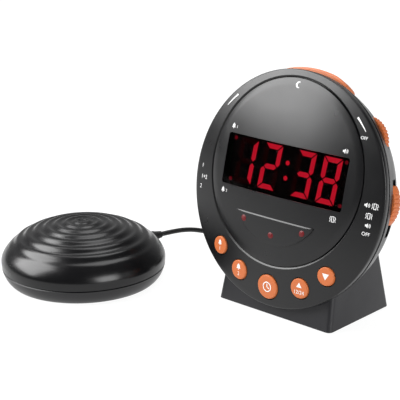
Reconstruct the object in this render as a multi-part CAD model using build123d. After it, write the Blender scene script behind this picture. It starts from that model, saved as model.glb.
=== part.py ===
from build123d import *
import math
import os

os.makedirs("parts", exist_ok=True)

# Sizes in millimetres. The table is z = 0, the clock faces -Y and stands on the origin.

# Fits
slip = 0.1
gap = 0.35
seat = 0.05
key_travel = 1.0
snooze_travel = 1.5

# Clock head: a domed front shell and a bowl-shaped rear shell
face_diameter = 140.0
dome_rise = 7.85
rim_round = 1.2
band_depth = 4.2
band_taper = 0.6
band_wall = 1.9
groove = 1.0
shell_wall = 2.2
head_depth = 46.0
head_tilt = 12.5
rim_height = 7.86
rear_flank_end = 12.0
rear_flank_lean = 19.5
back_floor = 3.3
back_floor_radius = 30.0

# Inner face plate, display window and crescent lamp panel
plate_top_margin = 5.14
plate_low_margin = 25.26
plate_thickness = 1.8
plate_gap = 0.45
ledge_width = 3.5
ledge_thickness = 1.6
ledge_lap = 1.4
window_side_margin = 10.2
window_height = 30.7
window_rise = 0.8
window_corner = 1.5
lens_thickness = 2.45
lens_sink = 0.25
lens_flange = 1.5
crescent_side_margin = 25.5
crescent_top = -17.3
crescent_drop = 15.7
crescent_corner = 1.2
crescent_proud = 0.7
crescent_seat = 0.6
lamp_radius = 1.95
lamp_side_margin = 7.6
lamp_side_y = -21.4
lamp_middle_y = -27.2

# Display
module_side_margin = 2.1
module_height = 29.2
display_level = 0.9
digit_spots = (-0.3635, -0.1459, 0.1459, 0.3635)
digit_share = 0.1518
digit_height = 27.0
bar_width = 2.9
bar_break = 0.6
bar_thickness = 0.25
digit_slant = 4.5
colon_rise = 4.45
colon_radius = 1.35
dot_radius = 1.1
dot_side_margin = 1.6
dot_rise = 12.4

# Keys along the lower rim
key_names = ("alarm_one_button", "alarm_two_button", "time_button", "up_button", "down_button")
key_ring_inset = 11.7
key_turns = (-43.4, -23.3, 0.0, 23.3, 43.4)
key_sizes = (10.8, 11.8, 14.4, 11.8, 10.8)
key_gap = 0.6
key_proud = 1.0
key_lip = 1.2
key_round = 0.5
key_stem_radius = 1.8

# Boards
front_board_face = -8.6
board_thickness = 1.6
front_board_inset = 6.5
front_board_top_inset = 25.5
main_board_face = -20.0
main_board_inset = 14.5
switch_size = 6.0
switch_body = 3.4
plunger_radius = 1.75
plunger_rise = 0.8
plate_post_inset = 8.8
plate_post_turns = (37.8, -30.0)
post_radius = 2.4
main_posts = ((36.0, 22.0), (36.0, -22.0))
main_post_radius = 3.0
header_half = 20.0
header_inset = 32.0
header_width = 5.0
lip_cut_side_inset = 18.0
lip_cut_top_inset = 34.0

# Screws
pilot = 1.25
clear_hole = 1.45
shank = 1.2
head_radius = 2.4
head_height = 1.6
small_shank = 0.9
small_head = 1.7
small_height = 1.1
boss_ring_inset = 10.0
boss_turns = (58.5, 121.5, -25.0, -155.0)
boss_radius = 3.0
boss_depth = 10.0
rear_boss_radius = 3.6
shell_screw_seat = -18.0
shell_screw_length = 14.0
counterbore = 2.7

# Snooze bar on top of the rim
snooze_proud = 3.7
snooze_half = 26.0
snooze_front = -8.5
snooze_rear = -18.5
snooze_flange = 1.1
snooze_end_flange = 0.7
snooze_flange_wall = 1.7
snooze_round = 1.3
snooze_leg_inset = 14.0
snooze_leg_half = 3.0

# Thumbwheels
wheel_radius = 15.0
wheel_ring_inset = 16.0
wheel_turn = 40.49
wheel_front = -11.2
wheel_thickness = 4.0
wheel_teeth = 44
tooth_radius = 0.5
wheel_shaft = 2.5
wheel_shaft_length = 3.6
pot_radius = 6.0
shaft_fit = 0.05

# Slide knobs in pockets of the rim
pocket_centre = 1.6
pocket_length = 32.6
pocket_width = 7.0
pocket_depth_z = -13.5
pocket_floor_inset = 8.0
pocket_wall = 2.0
knob_length = 22.4
knob_width = 6.2
knob_top_inset = 1.2
knob_end_inset = 5.4
knob_rest = 3.15
knob_up = 3.15
knob_down = 6.25
knob_grooves = 7
knob_groove_pitch = 2.4
knob_groove_radius = 0.45
knob_stem = 4.0
knob_stem_width = 2.2

# Speaker and sockets in the back
speaker_y = 8.0
speaker_radius = 18.0
grille_rings = ((0.0, 1), (4.6, 6), (9.2, 12), (13.4, 18))
grille_hole = 1.1
socket_side = 12.5
socket_y = -18.5
power_bore = 2.85
power_pin = 1.0
power_barrel = 3.9
audio_bore = 1.85
audio_barrel = 3.4
socket_flange = 1.4
plug_pin = 1.75
plug_pin_length = 14.0
plug_grip = 4.2
plug_grip_length = 14.0
plug_boot_length = 8.0
plug_boot_end = 2.2

# Stand
stand_width = 85.8
stand_depth = 58.4
stand_height = 40.0
stand_setback = 5.6
side_lean = 4.2
rear_lean = 11.45
stand_corner = 3.0
stand_wall = 2.0
saddle_gap = 0.15
foot_drop = 0.8
foot_radius = 4.0
foot_sink = 1.2
foot_place = (34.5, 20.5)
base_thickness = 2.2
base_clear = 0.2
base_screw_place = (37.0, 8.0)
base_boss_radius = 3.2
base_screw_length = 9.0
stand_screw_place = (31.0, 5.0)
stand_screw_seat = 15.0
stand_screw_length = 21.0

# Backup cells under the stand
cell_radius = 5.25
cell_length = 44.5
cell_nub = 1.2
cell_nub_radius = 1.9
cell_y = 9.2
cell_pitch = 10.7
cell_low = 2.9
contact_plate = 0.6
contact_radius = 2.4
door_half = 24.8
door_tongue = 1.2
door_thickness = 1.6
tongue_thickness = 0.8
door_play = 0.3
bay_wall = 1.5
bay_height = 12.0

# Shaker puck
shaker_x = -132.5
shaker_y = -58.5
shaker_height = 37.4
shaker_radius = 52.2
shaker_base_radius = 46.7
shaker_widest = 13.5
seam_height = 9.3
seam_groove = 0.4
puck_wall = 2.4
ripple_pitch = 6.2
ripple_first = 4.1
ripple_height = 0.45
ripple_end = 38.0
ripple_fade = 6.0
shaker_screw_ring = 41.0
motor_radius = 12.2
motor_length = 31.0
motor_back = -27.0
motor_axis = 17.5
shaft_radius = 1.0
weight_radius = 11.0
weight_start = 9.0
weight_length = 10.0
clamp_width = 10.0
clamp_thickness = 1.5
clamp_reach = 18.0

# Cord
cord_diameter = 3.2
cord_rest = 2.7
relief_turn = 79.0
relief_height = 15.5
relief_end = 60.0
relief_tip = 2.2
relief_neck = 2.7
relief_flange = 0.9
relief_collar = 0.7
relief_set_in = 3.2
coil_x = -76.0
coil_y = 56.0
coil_outer = 24.2
coil_pitch = 3.75
layer_turns = 3.75
coil_layers = 4
coil_turns = 15.25
coil_entry = 150.0
tie_width = 6.0
tie_thickness = 0.7
tie_slack = 0.4
tie_turn = 195.0

# Sizes that follow from those above
face_radius = face_diameter / 2
plate_radius = face_radius - (plate_top_margin + plate_low_margin) / 2
plate_y = (plate_low_margin - plate_top_margin) / 2
window_width = 2 * (plate_radius - window_side_margin)
window_y = plate_y + window_rise
module_width = window_width - 2 * module_side_margin
digit_width = digit_share * module_width
digit_centres = [spot * module_width for spot in digit_spots]
dot_reach = module_width / 2 - dot_side_margin
crescent_half = plate_radius - crescent_side_margin
lamp_side = (crescent_half - lamp_side_margin, lamp_side_y)
lamp_middle = (0.0, lamp_middle_y)
key_ring = face_radius - key_ring_inset
front_board_radius = face_radius - front_board_inset
front_board_top = face_radius - front_board_top_inset
main_board_radius = face_radius - main_board_inset
boss_ring = face_radius - boss_ring_inset
snooze_leg = face_radius - snooze_leg_inset
pocket_floor = face_radius - pocket_floor_inset
knob_top = face_radius - knob_top_inset
knob_end = face_radius - knob_end_inset
dome_radius = (face_radius ** 2 + dome_rise ** 2) / (2 * dome_rise)
tilt = math.radians(head_tilt)
flank = math.radians(rear_flank_lean)
face_z = rim_height + face_radius * math.cos(tilt)
face_y = (math.sin(tilt) * face_z - stand_setback) / math.cos(tilt) - stand_depth / 2
out_of_face = (0, -math.cos(tilt), math.sin(tilt))
head = Plane(origin=(0, face_y, face_z), x_dir=(1, 0, 0), z_dir=out_of_face).location
band_radius = face_radius - band_taper
spigot_radius = band_radius - band_wall
rear_front = -(band_depth + groove)
flank_length = rear_flank_end - band_depth - groove
flank_radius = band_radius - flank_length * math.tan(flank)
bowl_radius = (head_depth - rear_flank_end) / (1 - math.sin(flank))
bowl_r = flank_radius - bowl_radius * math.cos(flank)
bowl_z = bowl_radius * math.sin(flank) - rear_flank_end
front_board_back = front_board_face - board_thickness
main_board_back = main_board_face - board_thickness
wheel_back = wheel_front - wheel_thickness
pocket_low = pocket_centre - pocket_length / 2
pocket_high = pocket_centre + pocket_length / 2
base_top = foot_drop + base_thickness
door_top = foot_drop + door_thickness
tongue_low = door_top - tongue_thickness
bay_half = door_half + door_tongue + door_play
bay_front = cell_y - cell_radius - 0.8
cell_z = cell_low + cell_radius
cord_radius = cord_diameter / 2

BASE = (Align.CENTER, Align.CENTER, Align.MIN)
SIDES = (1, -1)


def rod(radius, low, high, x=0.0, y=0.0):
    """An upright cylinder between two heights."""
    return Pos(x, y, low) * Cylinder(radius, high - low, align=BASE)


def pipe(outer, inner, low, high, x=0.0, y=0.0):
    """An upright ring between two heights."""
    return rod(outer, low, high, x, y) - rod(inner, low, high, x, y)


def block(x0, x1, y0, y1, z0, z1):
    """A box between two corners."""
    middle = Pos((x0 + x1) / 2, (y0 + y1) / 2, (z0 + z1) / 2)
    return middle * Box(abs(x1 - x0), abs(y1 - y0), abs(z1 - z0))


def lathe(outline):
    """A solid of revolution about Z from a closed outline of (radius, height)."""
    return revolve(Plane.XZ * make_face(outline), Axis.Z)


def turned(*points):
    """A solid of revolution about Z from straight-sided corners (radius, height)."""
    return lathe(Polyline(*points, close=True))


def polar(radius, degrees):
    """A point on a circle about the head's axis."""
    turn = math.radians(degrees)
    return radius * math.cos(turn), radius * math.sin(turn)


def mirrored(places):
    """Each place and its mirror image across the middle plane."""
    return [(side * x, y) for x, y in places for side in SIDES]


def screw(place_x, place_y, seat_z, up, radius, head_r, head_h, length):
    """A pan-head screw with a cross recess; its shank runs up (1) or down (-1) from the seat."""
    recess = head_h * 0.6
    slot = head_r * 0.35
    body = rod(head_r, -head_h, 0) + rod(radius, 0, length)
    body -= block(-head_r * 0.7, head_r * 0.7, -slot / 2, slot / 2, -head_h, recess - head_h)
    body -= block(-slot / 2, slot / 2, -head_r * 0.7, head_r * 0.7, -head_h, recess - head_h)
    flip = Rot(0, 0, 0) if up > 0 else Rot(180, 0, 0)
    return Pos(place_x, place_y, seat_z) * (flip * body)


def save(name, *pieces):
    """Write one node; several separate solids are kept as a group."""
    shape = pieces[0] if len(pieces) == 1 else Compound(children=list(pieces))
    export_step(shape, f"parts/{name}.step")


def dome(drop):
    """The ball whose cap is the face, made smaller by drop."""
    return Pos(0, 0, dome_rise - dome_radius) * (Rot(0, 90, 0) * Sphere(dome_radius - drop))


def dome_height(radius, drop=0.0):
    """Height of that ball above the rim plane at a distance from the head's axis."""
    return math.sqrt((dome_radius - drop) ** 2 - radius ** 2) - dome_radius + dome_rise


def domed_rod(radius, low, drop, x=0.0, y=0.0):
    """An upright cylinder in the head whose top follows the face."""
    return rod(radius, low, dome_rise + 2 * gap - min(drop, 0), x, y) & dome(drop)


def prism(sketch, low, high):
    """A sketch pulled up between two heights."""
    return extrude(Pos(0, 0, low) * sketch, high - low)


def rear_bowl(grow):
    """The rear shell's outer form, grown outward all round."""
    front = (band_radius + grow / math.cos(flank), rear_front)
    reach = bowl_radius + grow
    middle_turn = (flank + math.pi / 2) / 2
    turn_start = (bowl_r + reach * math.cos(flank), bowl_z - reach * math.sin(flank))
    turn_middle = (bowl_r + reach * math.cos(middle_turn), bowl_z - reach * math.sin(middle_turn))
    turn_end = (bowl_r, bowl_z - reach)
    outline = Line(front, turn_start) + ThreePointArc(turn_start, turn_middle, turn_end)
    outline += Polyline(turn_end, (0, bowl_z - reach), (0, rear_front), front)
    return lathe(outline)


key_places = [polar(key_ring, turn - 90) for turn in key_turns]
boss_places = [polar(boss_ring, turn) for turn in boss_turns]
lamp_places = mirrored([lamp_side]) + [lamp_middle]
post_spots = [polar(plate_radius - plate_post_inset, turn) for turn in plate_post_turns]
plate_post_places = mirrored([(x, plate_y + y) for x, y in post_spots])
main_post_places = mirrored(main_posts)
wheel_x, wheel_y = polar(face_radius - wheel_ring_inset, wheel_turn)
wheel_places = {"volume": (wheel_x, wheel_y), "tone": (-wheel_x, wheel_y)}
window = Pos(0, window_y) * RectangleRounded(window_width, window_height, window_corner)

# Crescent lamp panel outline
crescent_ends = ((-crescent_half, crescent_top), (crescent_half, crescent_top))
crescent_low = (0, crescent_top - crescent_drop)
crescent_arc = ThreePointArc(crescent_ends[1], crescent_low, crescent_ends[0])
crescent = make_face(Line(*crescent_ends) + crescent_arc)
crescent = fillet(crescent.vertices(), crescent_corner)

# Front shell: cap and side band, hollowed, with a ledge for the face plate and screw bosses
cap_arc = ThreePointArc((face_radius, 0), (face_radius / 2, dome_height(face_radius / 2)), (0, dome_rise))
cap_sides = Polyline((0, dome_rise), (0, -band_depth), (band_radius, -band_depth), (face_radius, 0))
cap = make_face(cap_arc + cap_sides)
cap = fillet(cap.vertices().sort_by_distance((face_radius, 0))[0], rim_round)
front_shell = revolve(Plane.XZ * cap, Axis.Z)
front_shell -= domed_rod(spigot_radius, -band_depth - 1, shell_wall)
ledge_drop = plate_thickness + slip
ledge_outer = plate_radius + plate_gap + ledge_lap
ledge_inner = plate_radius - ledge_width
ledge = domed_rod(ledge_outer, -band_depth, slip * 8, 0, plate_y) - dome(ledge_drop + ledge_thickness)
front_shell += ledge
front_shell -= rod(plate_radius + plate_gap, -band_depth, dome_rise + 1, 0, plate_y) - dome(ledge_drop)
front_shell -= rod(ledge_inner, -head_depth, dome_rise + 1, 0, plate_y)
for (x, y), size in zip(key_places, key_sizes):
    front_shell -= rod(size / 2 + key_gap, -band_depth, dome_rise, x, y)
for x, y in boss_places:
    boss_drop = ledge_drop + ledge_thickness / 2 if y > 0 else shell_wall / 2
    front_shell += domed_rod(boss_radius, -boss_depth, boss_drop, x, y)
    front_shell -= rod(pilot, -boss_depth, -boss_depth + 7, x, y)
save("front_shell", head * front_shell)

# Face plate with its window, lamp holes, crescent seat and board posts
post_low = front_board_face
face_plate = domed_rod(plate_radius, -band_depth, 0, 0, plate_y) - dome(plate_thickness)
face_plate -= prism(window, -band_depth, dome_rise + 1)
crescent_bed = prism(offset(crescent, slip), -band_depth, dome_rise + 1)
face_plate -= crescent_bed - dome(crescent_seat)
for x, y in lamp_places:
    face_plate -= rod(lamp_radius + 2 * slip, -band_depth, dome_rise + 1, x, y)
for x, y in plate_post_places:
    face_plate += domed_rod(post_radius, post_low, plate_thickness / 2, x, y)
    face_plate -= rod(small_shank + seat, post_low, post_low + 5, x, y)
save("face_plate", head * face_plate)

# Smoked lens, held behind the window by its flange
lens_back = plate_thickness + slip + lens_thickness / 3
lens_outline = offset(window, -1.5 * slip)
lens_stop = Pos(0, window_y) * Rectangle(window_width + 2 * lens_flange, window_height + 2 * lens_flange)
lens = prism(lens_outline, -1, dome_rise + 1) & dome(lens_sink)
lens += prism(lens_stop, -1, dome_rise + 1) & dome(plate_thickness + slip)
lens -= dome(lens_back)
save("display_lens", head * lens)

# Display module and the bars and dots on its face
module_low = window_y - module_height / 2
led_display = block(
    -module_width / 2, module_width / 2, module_low, module_low + module_height,
    front_board_face, display_level)
save("led_display", head * led_display)


def lean(points, centre):
    """Slant a digit's corners and move them to its place."""
    slope = math.tan(math.radians(digit_slant))
    return [(centre + x + y * slope, window_y + y) for x, y in points]


def digit_bars(centre):
    """The seven bars of one digit by their usual letters."""
    w = digit_width / 2
    h = digit_height / 2
    t = bar_width
    b = bar_break
    top = [(-w + b, h), (w - b, h), (w - t - b, h - t), (-w + t + b, h - t)]
    side = [(w, h - b), (w - t, h - t - b), (w - t, t / 2 + b), (w - t / 2, b), (w, t / 2 + b)]
    middle = [
        (-w + t / 2 + b, 0), (-w + t + b, t / 2), (w - t - b, t / 2),
        (w - t / 2 - b, 0), (w - t - b, -t / 2), (-w + t + b, -t / 2)]
    shapes = {
        "a": top,
        "b": side,
        "c": [(x, -y) for x, y in side],
        "d": [(x, -y) for x, y in top],
        "e": [(-x, -y) for x, y in side],
        "f": [(-x, y) for x, y in side],
        "g": middle,
    }
    return {letter: lean(corners, centre) for letter, corners in shapes.items()}


def bar(corners):
    """One flat bar on the display's face."""
    outline = make_face(Polyline(*corners, close=True))
    return head * prism(outline, display_level, display_level + bar_thickness)


def dot(radius, x, y):
    """One round dot on the display's face."""
    return head * rod(radius, display_level, display_level + bar_thickness, x, y)


shown = ("bc", "abged", "abgcd", "abcdefg")
lit = []
unlit = []
for centre, letters in zip(digit_centres, shown):
    for letter, corners in digit_bars(centre).items():
        (lit if letter in letters else unlit).append(bar(corners))
for rise in (colon_rise, -colon_rise):
    lit.append(dot(colon_radius, 0, window_y + rise))
dots = [dot(dot_radius, x, window_y + side * dot_rise) for x in (-dot_reach, dot_reach) for side in SIDES]
save("lit_segments", *lit)
save("unlit_segments", *unlit)
save("indicator_dots", *dots)

# Crescent panel and the three lamps behind it
flash_panel = (prism(crescent, -1, dome_rise + 2) & dome(-crescent_proud)) - dome(crescent_seat)
for x, y in lamp_places:
    flash_panel -= rod(lamp_radius + 1.5 * slip, -1, dome_rise + 2, x, y)
save("flash_panel", head * flash_panel)
lamps = []
for x, y in lamp_places:
    lamp_top = dome_height(math.hypot(x, y)) - lamp_radius / 3
    lamp = rod(lamp_radius, front_board_face, lamp_top, x, y)
    lamps.append(head * (lamp + Pos(x, y, lamp_top) * Sphere(lamp_radius)))
save("flash_leds", *lamps)

# Front board with the key switches
front_board = rod(front_board_radius, front_board_back, front_board_face)
front_board -= block(
    -face_radius, face_radius, front_board_top, face_radius, front_board_back - 1, front_board_face + 1)
for x, y in boss_places:
    front_board -= rod(boss_radius + 1, front_board_back - 1, front_board_face + 1, x, y)
for x, y in plate_post_places:
    front_board -= rod(small_shank + slip, front_board_back - 1, front_board_face + 1, x, y)
for side in SIDES:
    front_board -= block(
        side * (pocket_floor - pocket_wall - 2 * gap), side * face_radius,
        pocket_low - pocket_wall - 1, pocket_high + pocket_wall + 1,
        front_board_back - 1, front_board_face + 1)
save("front_board", head * front_board)
plunger_top = front_board_face + switch_body + plunger_rise
switches = []
for x, y in key_places:
    half = switch_size / 2
    body = block(x - half, x + half, y - half, y + half, front_board_face, front_board_face + switch_body)
    switches.append(head * (body + rod(plunger_radius, front_board_face, plunger_top, x, y)))
save("key_switches", *switches)

# Keys: a domed cap, a lip behind the shell and a stem over the switch
for name, (x, y), size in zip(key_names, key_places, key_sizes):
    lip_radius = size / 2 + key_lip
    lip_top = dome_height(min(key_ring + lip_radius, spigot_radius), shell_wall) - gap
    lip_low = lip_top - key_lip
    cap_top = domed_rod(size / 2, lip_low, -key_proud, x, y)
    cap_edge = [e for e in cap_top.edges() if e.center().Z > lip_top + key_lip]
    key = fillet(cap_edge, key_round)
    key += rod(lip_radius, lip_low, lip_top, x, y) & rod(spigot_radius - gap, lip_low, lip_top)
    key += rod(key_stem_radius, plunger_top + key_travel + 2 * slip, lip_low + slip, x, y)
    save(name, head * key)

# Rear shell: a bowl with a lip into the front shell
rear_shell = rear_bowl(0) - rear_bowl(-shell_wall)
lip_outer = spigot_radius - 2 * slip
lip_inner = lip_outer - band_wall
lip_front = -band_depth + 0.9
lip_ring = pipe(lip_outer, lip_inner, rear_front - 3, lip_front)
lip_cut_half = face_radius - lip_cut_side_inset
lip_ring -= block(-lip_cut_half, lip_cut_half, -face_radius, lip_cut_top_inset - face_radius, rear_front, 0)
rear_shell += lip_ring
bowl = rear_bowl(0)
floor_top = back_floor - head_depth
rear_shell += rod(back_floor_radius, -head_depth, floor_top) & bowl
knob_low = pocket_depth_z - pocket_width / 2
knob_high = pocket_depth_z + pocket_width / 2
for side in SIDES:
    cheek = block(
        side * (pocket_floor - pocket_wall), side * (face_radius + 2),
        pocket_low - pocket_wall, pocket_high + pocket_wall,
        knob_low - pocket_wall, knob_high + pocket_wall)
    rear_shell += cheek & bowl
for x, y in boss_places:
    rear_shell += rod(rear_boss_radius, -head_depth, -boss_depth - seat, x, y) & bowl
for x, y in main_post_places:
    rear_shell += rod(main_post_radius, -head_depth, main_board_back, x, y) & bowl
    rear_shell -= rod(shank - slip, main_board_back - 7, main_board_back, x, y)
for x, y in boss_places:
    rear_shell -= rod(counterbore, -head_depth, shell_screw_seat, x, y)
    rear_shell -= rod(clear_hole, -head_depth, 0, x, y)
for side in SIDES:
    rear_shell -= block(
        side * pocket_floor, side * (face_radius + 2), pocket_low, pocket_high, knob_low, knob_high)
    slot_low = knob_rest - knob_down - knob_stem / 2 - gap
    slot_high = knob_rest + knob_up + knob_stem / 2 + gap
    slot_half = knob_stem_width / 2 + gap
    rear_shell -= block(
        side * (pocket_floor - pocket_wall - 1), side * face_radius, slot_low, slot_high,
        pocket_depth_z - slot_half, pocket_depth_z + slot_half)
    rear_shell -= rod(wheel_radius + 2 * gap, wheel_back - gap, wheel_front + gap, side * wheel_x, wheel_y)
snooze_opening = snooze_half + gap
rear_shell -= block(
    -snooze_opening, snooze_opening, face_radius / 2, face_radius, snooze_rear - gap, snooze_front + gap)
for ring, count in grille_rings:
    for step in range(count):
        x, y = polar(ring, 360 * step / count)
        rear_shell -= rod(grille_hole, -head_depth - 1, floor_top + 1, x, speaker_y + y)
rear_shell -= rod(power_barrel + slip, -head_depth - 1, floor_top + 1, socket_side, socket_y)
rear_shell -= rod(audio_barrel + slip, -head_depth - 1, floor_top + 1, -socket_side, socket_y)

# The stand's screws hold the rear shell from below
rear_shell = head * rear_shell
world_bowl = head * bowl
stand_screw_places = mirrored([stand_screw_place])
for x, y in stand_screw_places:
    pillar = rod(pilot + 2, stand_screw_seat, stand_screw_seat + stand_screw_length + 2, x, y)
    rear_shell += pillar & world_bowl
    rear_shell -= rod(pilot, stand_screw_seat, stand_screw_seat + stand_screw_length + 1, x, y)
save("rear_shell", rear_shell)
shell_screws = [
    head * screw(x, y, shell_screw_seat, 1, shank, head_radius, head_height, shell_screw_length)
    for x, y in boss_places]
save("shell_screws", *shell_screws)

# Main board on the rear shell's posts, with its parts and the header between the boards
main_board = rod(main_board_radius, main_board_back, main_board_face)
for x, y in main_post_places:
    main_board -= rod(shank + slip, main_board_back - 1, main_board_face + 1, x, y)
save("main_board", head * main_board)
components = [
    block(-8, 8, 2, 18, main_board_face, main_board_face + 2.0),
    block(-30, -18, -6, 4, main_board_face, main_board_face + 2.0),
    rod(5.0, main_board_face, main_board_face + 8.5, -16, -22),
    rod(3.2, main_board_face, main_board_face + 8.0, -28, -20),
    rod(3.2, main_board_face, main_board_face + 8.0, 20, -20),
    block(24, 34, -8, -4, main_board_face, main_board_face + 3.5),
]
save("board_components", *[head * piece for piece in components])
header_low = header_inset - face_radius
board_header = block(
    -header_half, header_half, header_low, header_low + header_width, main_board_face, front_board_back)
save("board_header", head * board_header)
board_screws = [
    head * screw(x, y, front_board_back, 1, small_shank, small_head, small_height, 5)
    for x, y in plate_post_places]
board_screws += [
    head * screw(x, y, main_board_face, -1, shank - 1.5 * slip, head_radius, head_height, 7)
    for x, y in main_post_places]
save("board_screws", *board_screws)

# Snooze bar: follows the rear shell's form, with a flange inside, and its switch
flange_front = snooze_front + snooze_flange
flange_rear = snooze_rear - snooze_flange
rear_reach = bowl_r + math.sqrt((bowl_radius - shell_wall) ** 2 - (flange_rear - bowl_z) ** 2)
flange_radius = rear_reach - gap
flange_inner = flange_radius - snooze_flange_wall
bar_high = face_radius + snooze_proud
span = block(-snooze_half, snooze_half, flange_inner / 2, bar_high, snooze_rear, snooze_front)
snooze_bar = (span & rear_bowl(snooze_proud)) - rod(flange_inner, snooze_rear - 1, snooze_front + 1)
crown = [e for e in snooze_bar.edges() if (e @ 0.5).Y > flange_radius and abs(e.tangent_at(0.5).Y) < 0.8]
snooze_bar = fillet(crown, snooze_round)
flange_half = snooze_half + snooze_end_flange
inner_flange = block(-flange_half, flange_half, flange_inner / 2, bar_high, flange_rear, flange_front)
snooze_bar += inner_flange & pipe(flange_radius, flange_inner, flange_rear, flange_front)
leg_z = (snooze_front + snooze_rear) / 2
snooze_bar += block(
    -snooze_leg_half, snooze_leg_half, snooze_leg, flange_inner + 2 * slip,
    leg_z - snooze_leg_half, leg_z + snooze_leg_half)
save("snooze_bar", head * snooze_bar)
switch_top = snooze_leg - snooze_travel - 2 * slip
snooze_switch = block(-5, 5, switch_top - 9, switch_top - 2.5, main_board_face, leg_z + 3.5)
plunger_turn = Pos(0, switch_top - 3, leg_z) * Rot(-90, 0, 0)
snooze_switch += plunger_turn * Cylinder(plunger_radius, 3, align=BASE)
save("snooze_switch", head * snooze_switch)

# Thumbwheels and the potentiometers they turn
for label, (x, y) in wheel_places.items():
    wheel = rod(wheel_radius, wheel_back, wheel_front)
    for step in range(wheel_teeth):
        tx, ty = polar(wheel_radius + tooth_radius / 4, 360 * step / wheel_teeth)
        wheel -= rod(tooth_radius, wheel_back, wheel_front, tx, ty)
    wheel -= rod(wheel_radius * 0.62, wheel_front - 0.8, wheel_front)
    wheel += rod(wheel_shaft, wheel_back - wheel_shaft_length, wheel_back)
    save(f"{label}_wheel", head * (Pos(x, y) * wheel))
    pot = rod(pot_radius, main_board_face, wheel_back - 2 * gap)
    pot -= rod(wheel_shaft + shaft_fit, wheel_back - wheel_shaft_length - gap, wheel_back)
    save(f"{label}_pot", head * (Pos(x, y) * pot))

# Slide knobs and the switches behind them; the right one picks the mode, the left one the alarm
knob_half = knob_length / 2
knob_arc = ThreePointArc((knob_end, -knob_half), (knob_top, 0), (knob_end, knob_half))
knob_foot = pocket_floor + gap
knob_sides = Polyline((knob_end, knob_half), (knob_foot, knob_half), (knob_foot, -knob_half),
                      (knob_end, -knob_half))
knob = extrude(make_face(knob_arc + knob_sides), knob_width / 2, both=True)
arc_sagitta = knob_top - knob_end
arc_radius = (knob_half ** 2 + arc_sagitta ** 2) / (2 * arc_sagitta)
for step in range(knob_grooves):
    groove_y = (step - (knob_grooves - 1) / 2) * knob_groove_pitch
    groove_x = knob_top - arc_radius + math.sqrt(arc_radius ** 2 - groove_y ** 2)
    knob -= rod(knob_groove_radius, -knob_width, knob_width, groove_x, groove_y)
stem_tip = pocket_floor - pocket_wall - 4
knob += block(stem_tip, knob_foot + 1, -knob_stem / 2, knob_stem / 2, -knob_stem_width / 2, knob_stem_width / 2)
switch_face = pocket_floor - pocket_wall - 2 * gap
slide_switch = block(switch_face - 8, switch_face, -10, 10, main_board_face, front_board_back - gap)
slide_switch -= block(
    stem_tip - gap, switch_face + 1, slot_low, slot_high,
    pocket_depth_z - slot_half, pocket_depth_z + slot_half)
knob_place = Pos(0, knob_rest, pocket_depth_z)
for label, side in (("mode", 1), ("alarm", -1)):
    facing = Rot(0, 0, 0) if side > 0 else Rot(0, 180, 0)
    save(f"{label}_slider", head * (knob_place * (facing * knob)))
    body = slide_switch if side > 0 else mirror(slide_switch, Plane.YZ)
    save(f"{label}_switch", head * body)

# Speaker behind the grille
cup = floor_top
r = speaker_radius
basket = turned(
    (r - 2.5, cup), (r, cup), (r, cup + 1.4), (r - 1.4, cup + 1.4), (r - 8.4, cup + 8.8), (r - 8.4, cup + 9.8),
    (4.0, cup + 9.8), (4.0, cup + 8.8), (r - 9.4, cup + 8.8), (r - 2.5, cup + 1.6))
save("speaker_basket", head * (Pos(0, speaker_y) * basket))
cone = turned(
    (0, cup + 7.2), (4.0, cup + 7.2), (r - 3.2, cup + 0.5), (r - 2.6, cup + 0.5), (r - 2.6, cup + 1.0),
    (r - 3.1, cup + 1.0), (4.2, cup + 7.8), (0, cup + 7.8))
save("speaker_cone", head * (Pos(0, speaker_y) * cone))
save("speaker_magnet", head * rod(r / 2 - 0.5, cup + 9.8, cup + 16, 0, speaker_y))

# Sockets in the back and the shaker's plug
back = -head_depth
power_jack = turned(
    (power_bore, back), (power_barrel, back), (power_barrel, cup + seat),
    (power_barrel + socket_flange, cup + seat), (power_barrel + socket_flange, cup + 2),
    (power_barrel, cup + 2), (power_barrel, back + 12), (0, back + 12), (0, back + 0.8),
    (power_pin, back + 0.8), (power_pin, back + 9.5), (power_bore, back + 9.5))
save("power_jack", head * (Pos(socket_side, socket_y) * power_jack))
shaker_jack = turned(
    (audio_bore, back), (audio_barrel, back), (audio_barrel, cup + seat),
    (audio_barrel + socket_flange, cup + seat), (audio_barrel + socket_flange, cup + 2),
    (audio_barrel, cup + 2), (audio_barrel, back + 17), (0, back + 17), (0, back + 15.5),
    (audio_bore, back + 15.5))
save("shaker_jack", head * (Pos(-socket_side, socket_y) * shaker_jack))
grip_start = back - 2 * slip
grip_end = grip_start - plug_grip_length
boot_end = grip_end - plug_boot_length
shaker_plug = turned(
    (0, grip_start + plug_pin_length), (plug_pin - 0.8, grip_start + plug_pin_length),
    (plug_pin, grip_start + plug_pin_length - 1.5), (plug_pin, grip_start), (plug_grip, grip_start),
    (plug_grip, grip_end), (plug_boot_end + 0.9, grip_end), (plug_boot_end, boot_end), (0, boot_end))
save("shaker_plug", head * (Pos(-socket_side, socket_y) * shaker_plug))


def wedge_form(low, high, inset):
    """The stand's leaning block between two heights, moved in by a wall, with its corners rounded."""
    lower_half = stand_width / 2 - inset - low * math.tan(math.radians(side_lean))
    upper_half = stand_width / 2 - inset - high * math.tan(math.radians(side_lean))
    front = [inset - stand_depth / 2 + z * math.tan(tilt) for z in (low, high)]
    rear = [stand_depth / 2 - inset - z * math.tan(math.radians(rear_lean)) for z in (low, high)]
    profile = Polyline((front[0], low), (rear[0], low), (rear[1], high), (front[1], high), close=True)
    facing = Polyline(
        (-lower_half, low), (lower_half, low), (upper_half, high), (-upper_half, high), close=True)
    form = extrude(Plane.YZ * make_face(profile), stand_width, both=True)
    form &= extrude(Plane.XZ * make_face(facing), stand_depth, both=True)
    upright = [e for e in form.edges() if abs(e.tangent_at(0.5).Z) > 0.5]
    return fillet(upright, stand_corner - inset)


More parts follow.
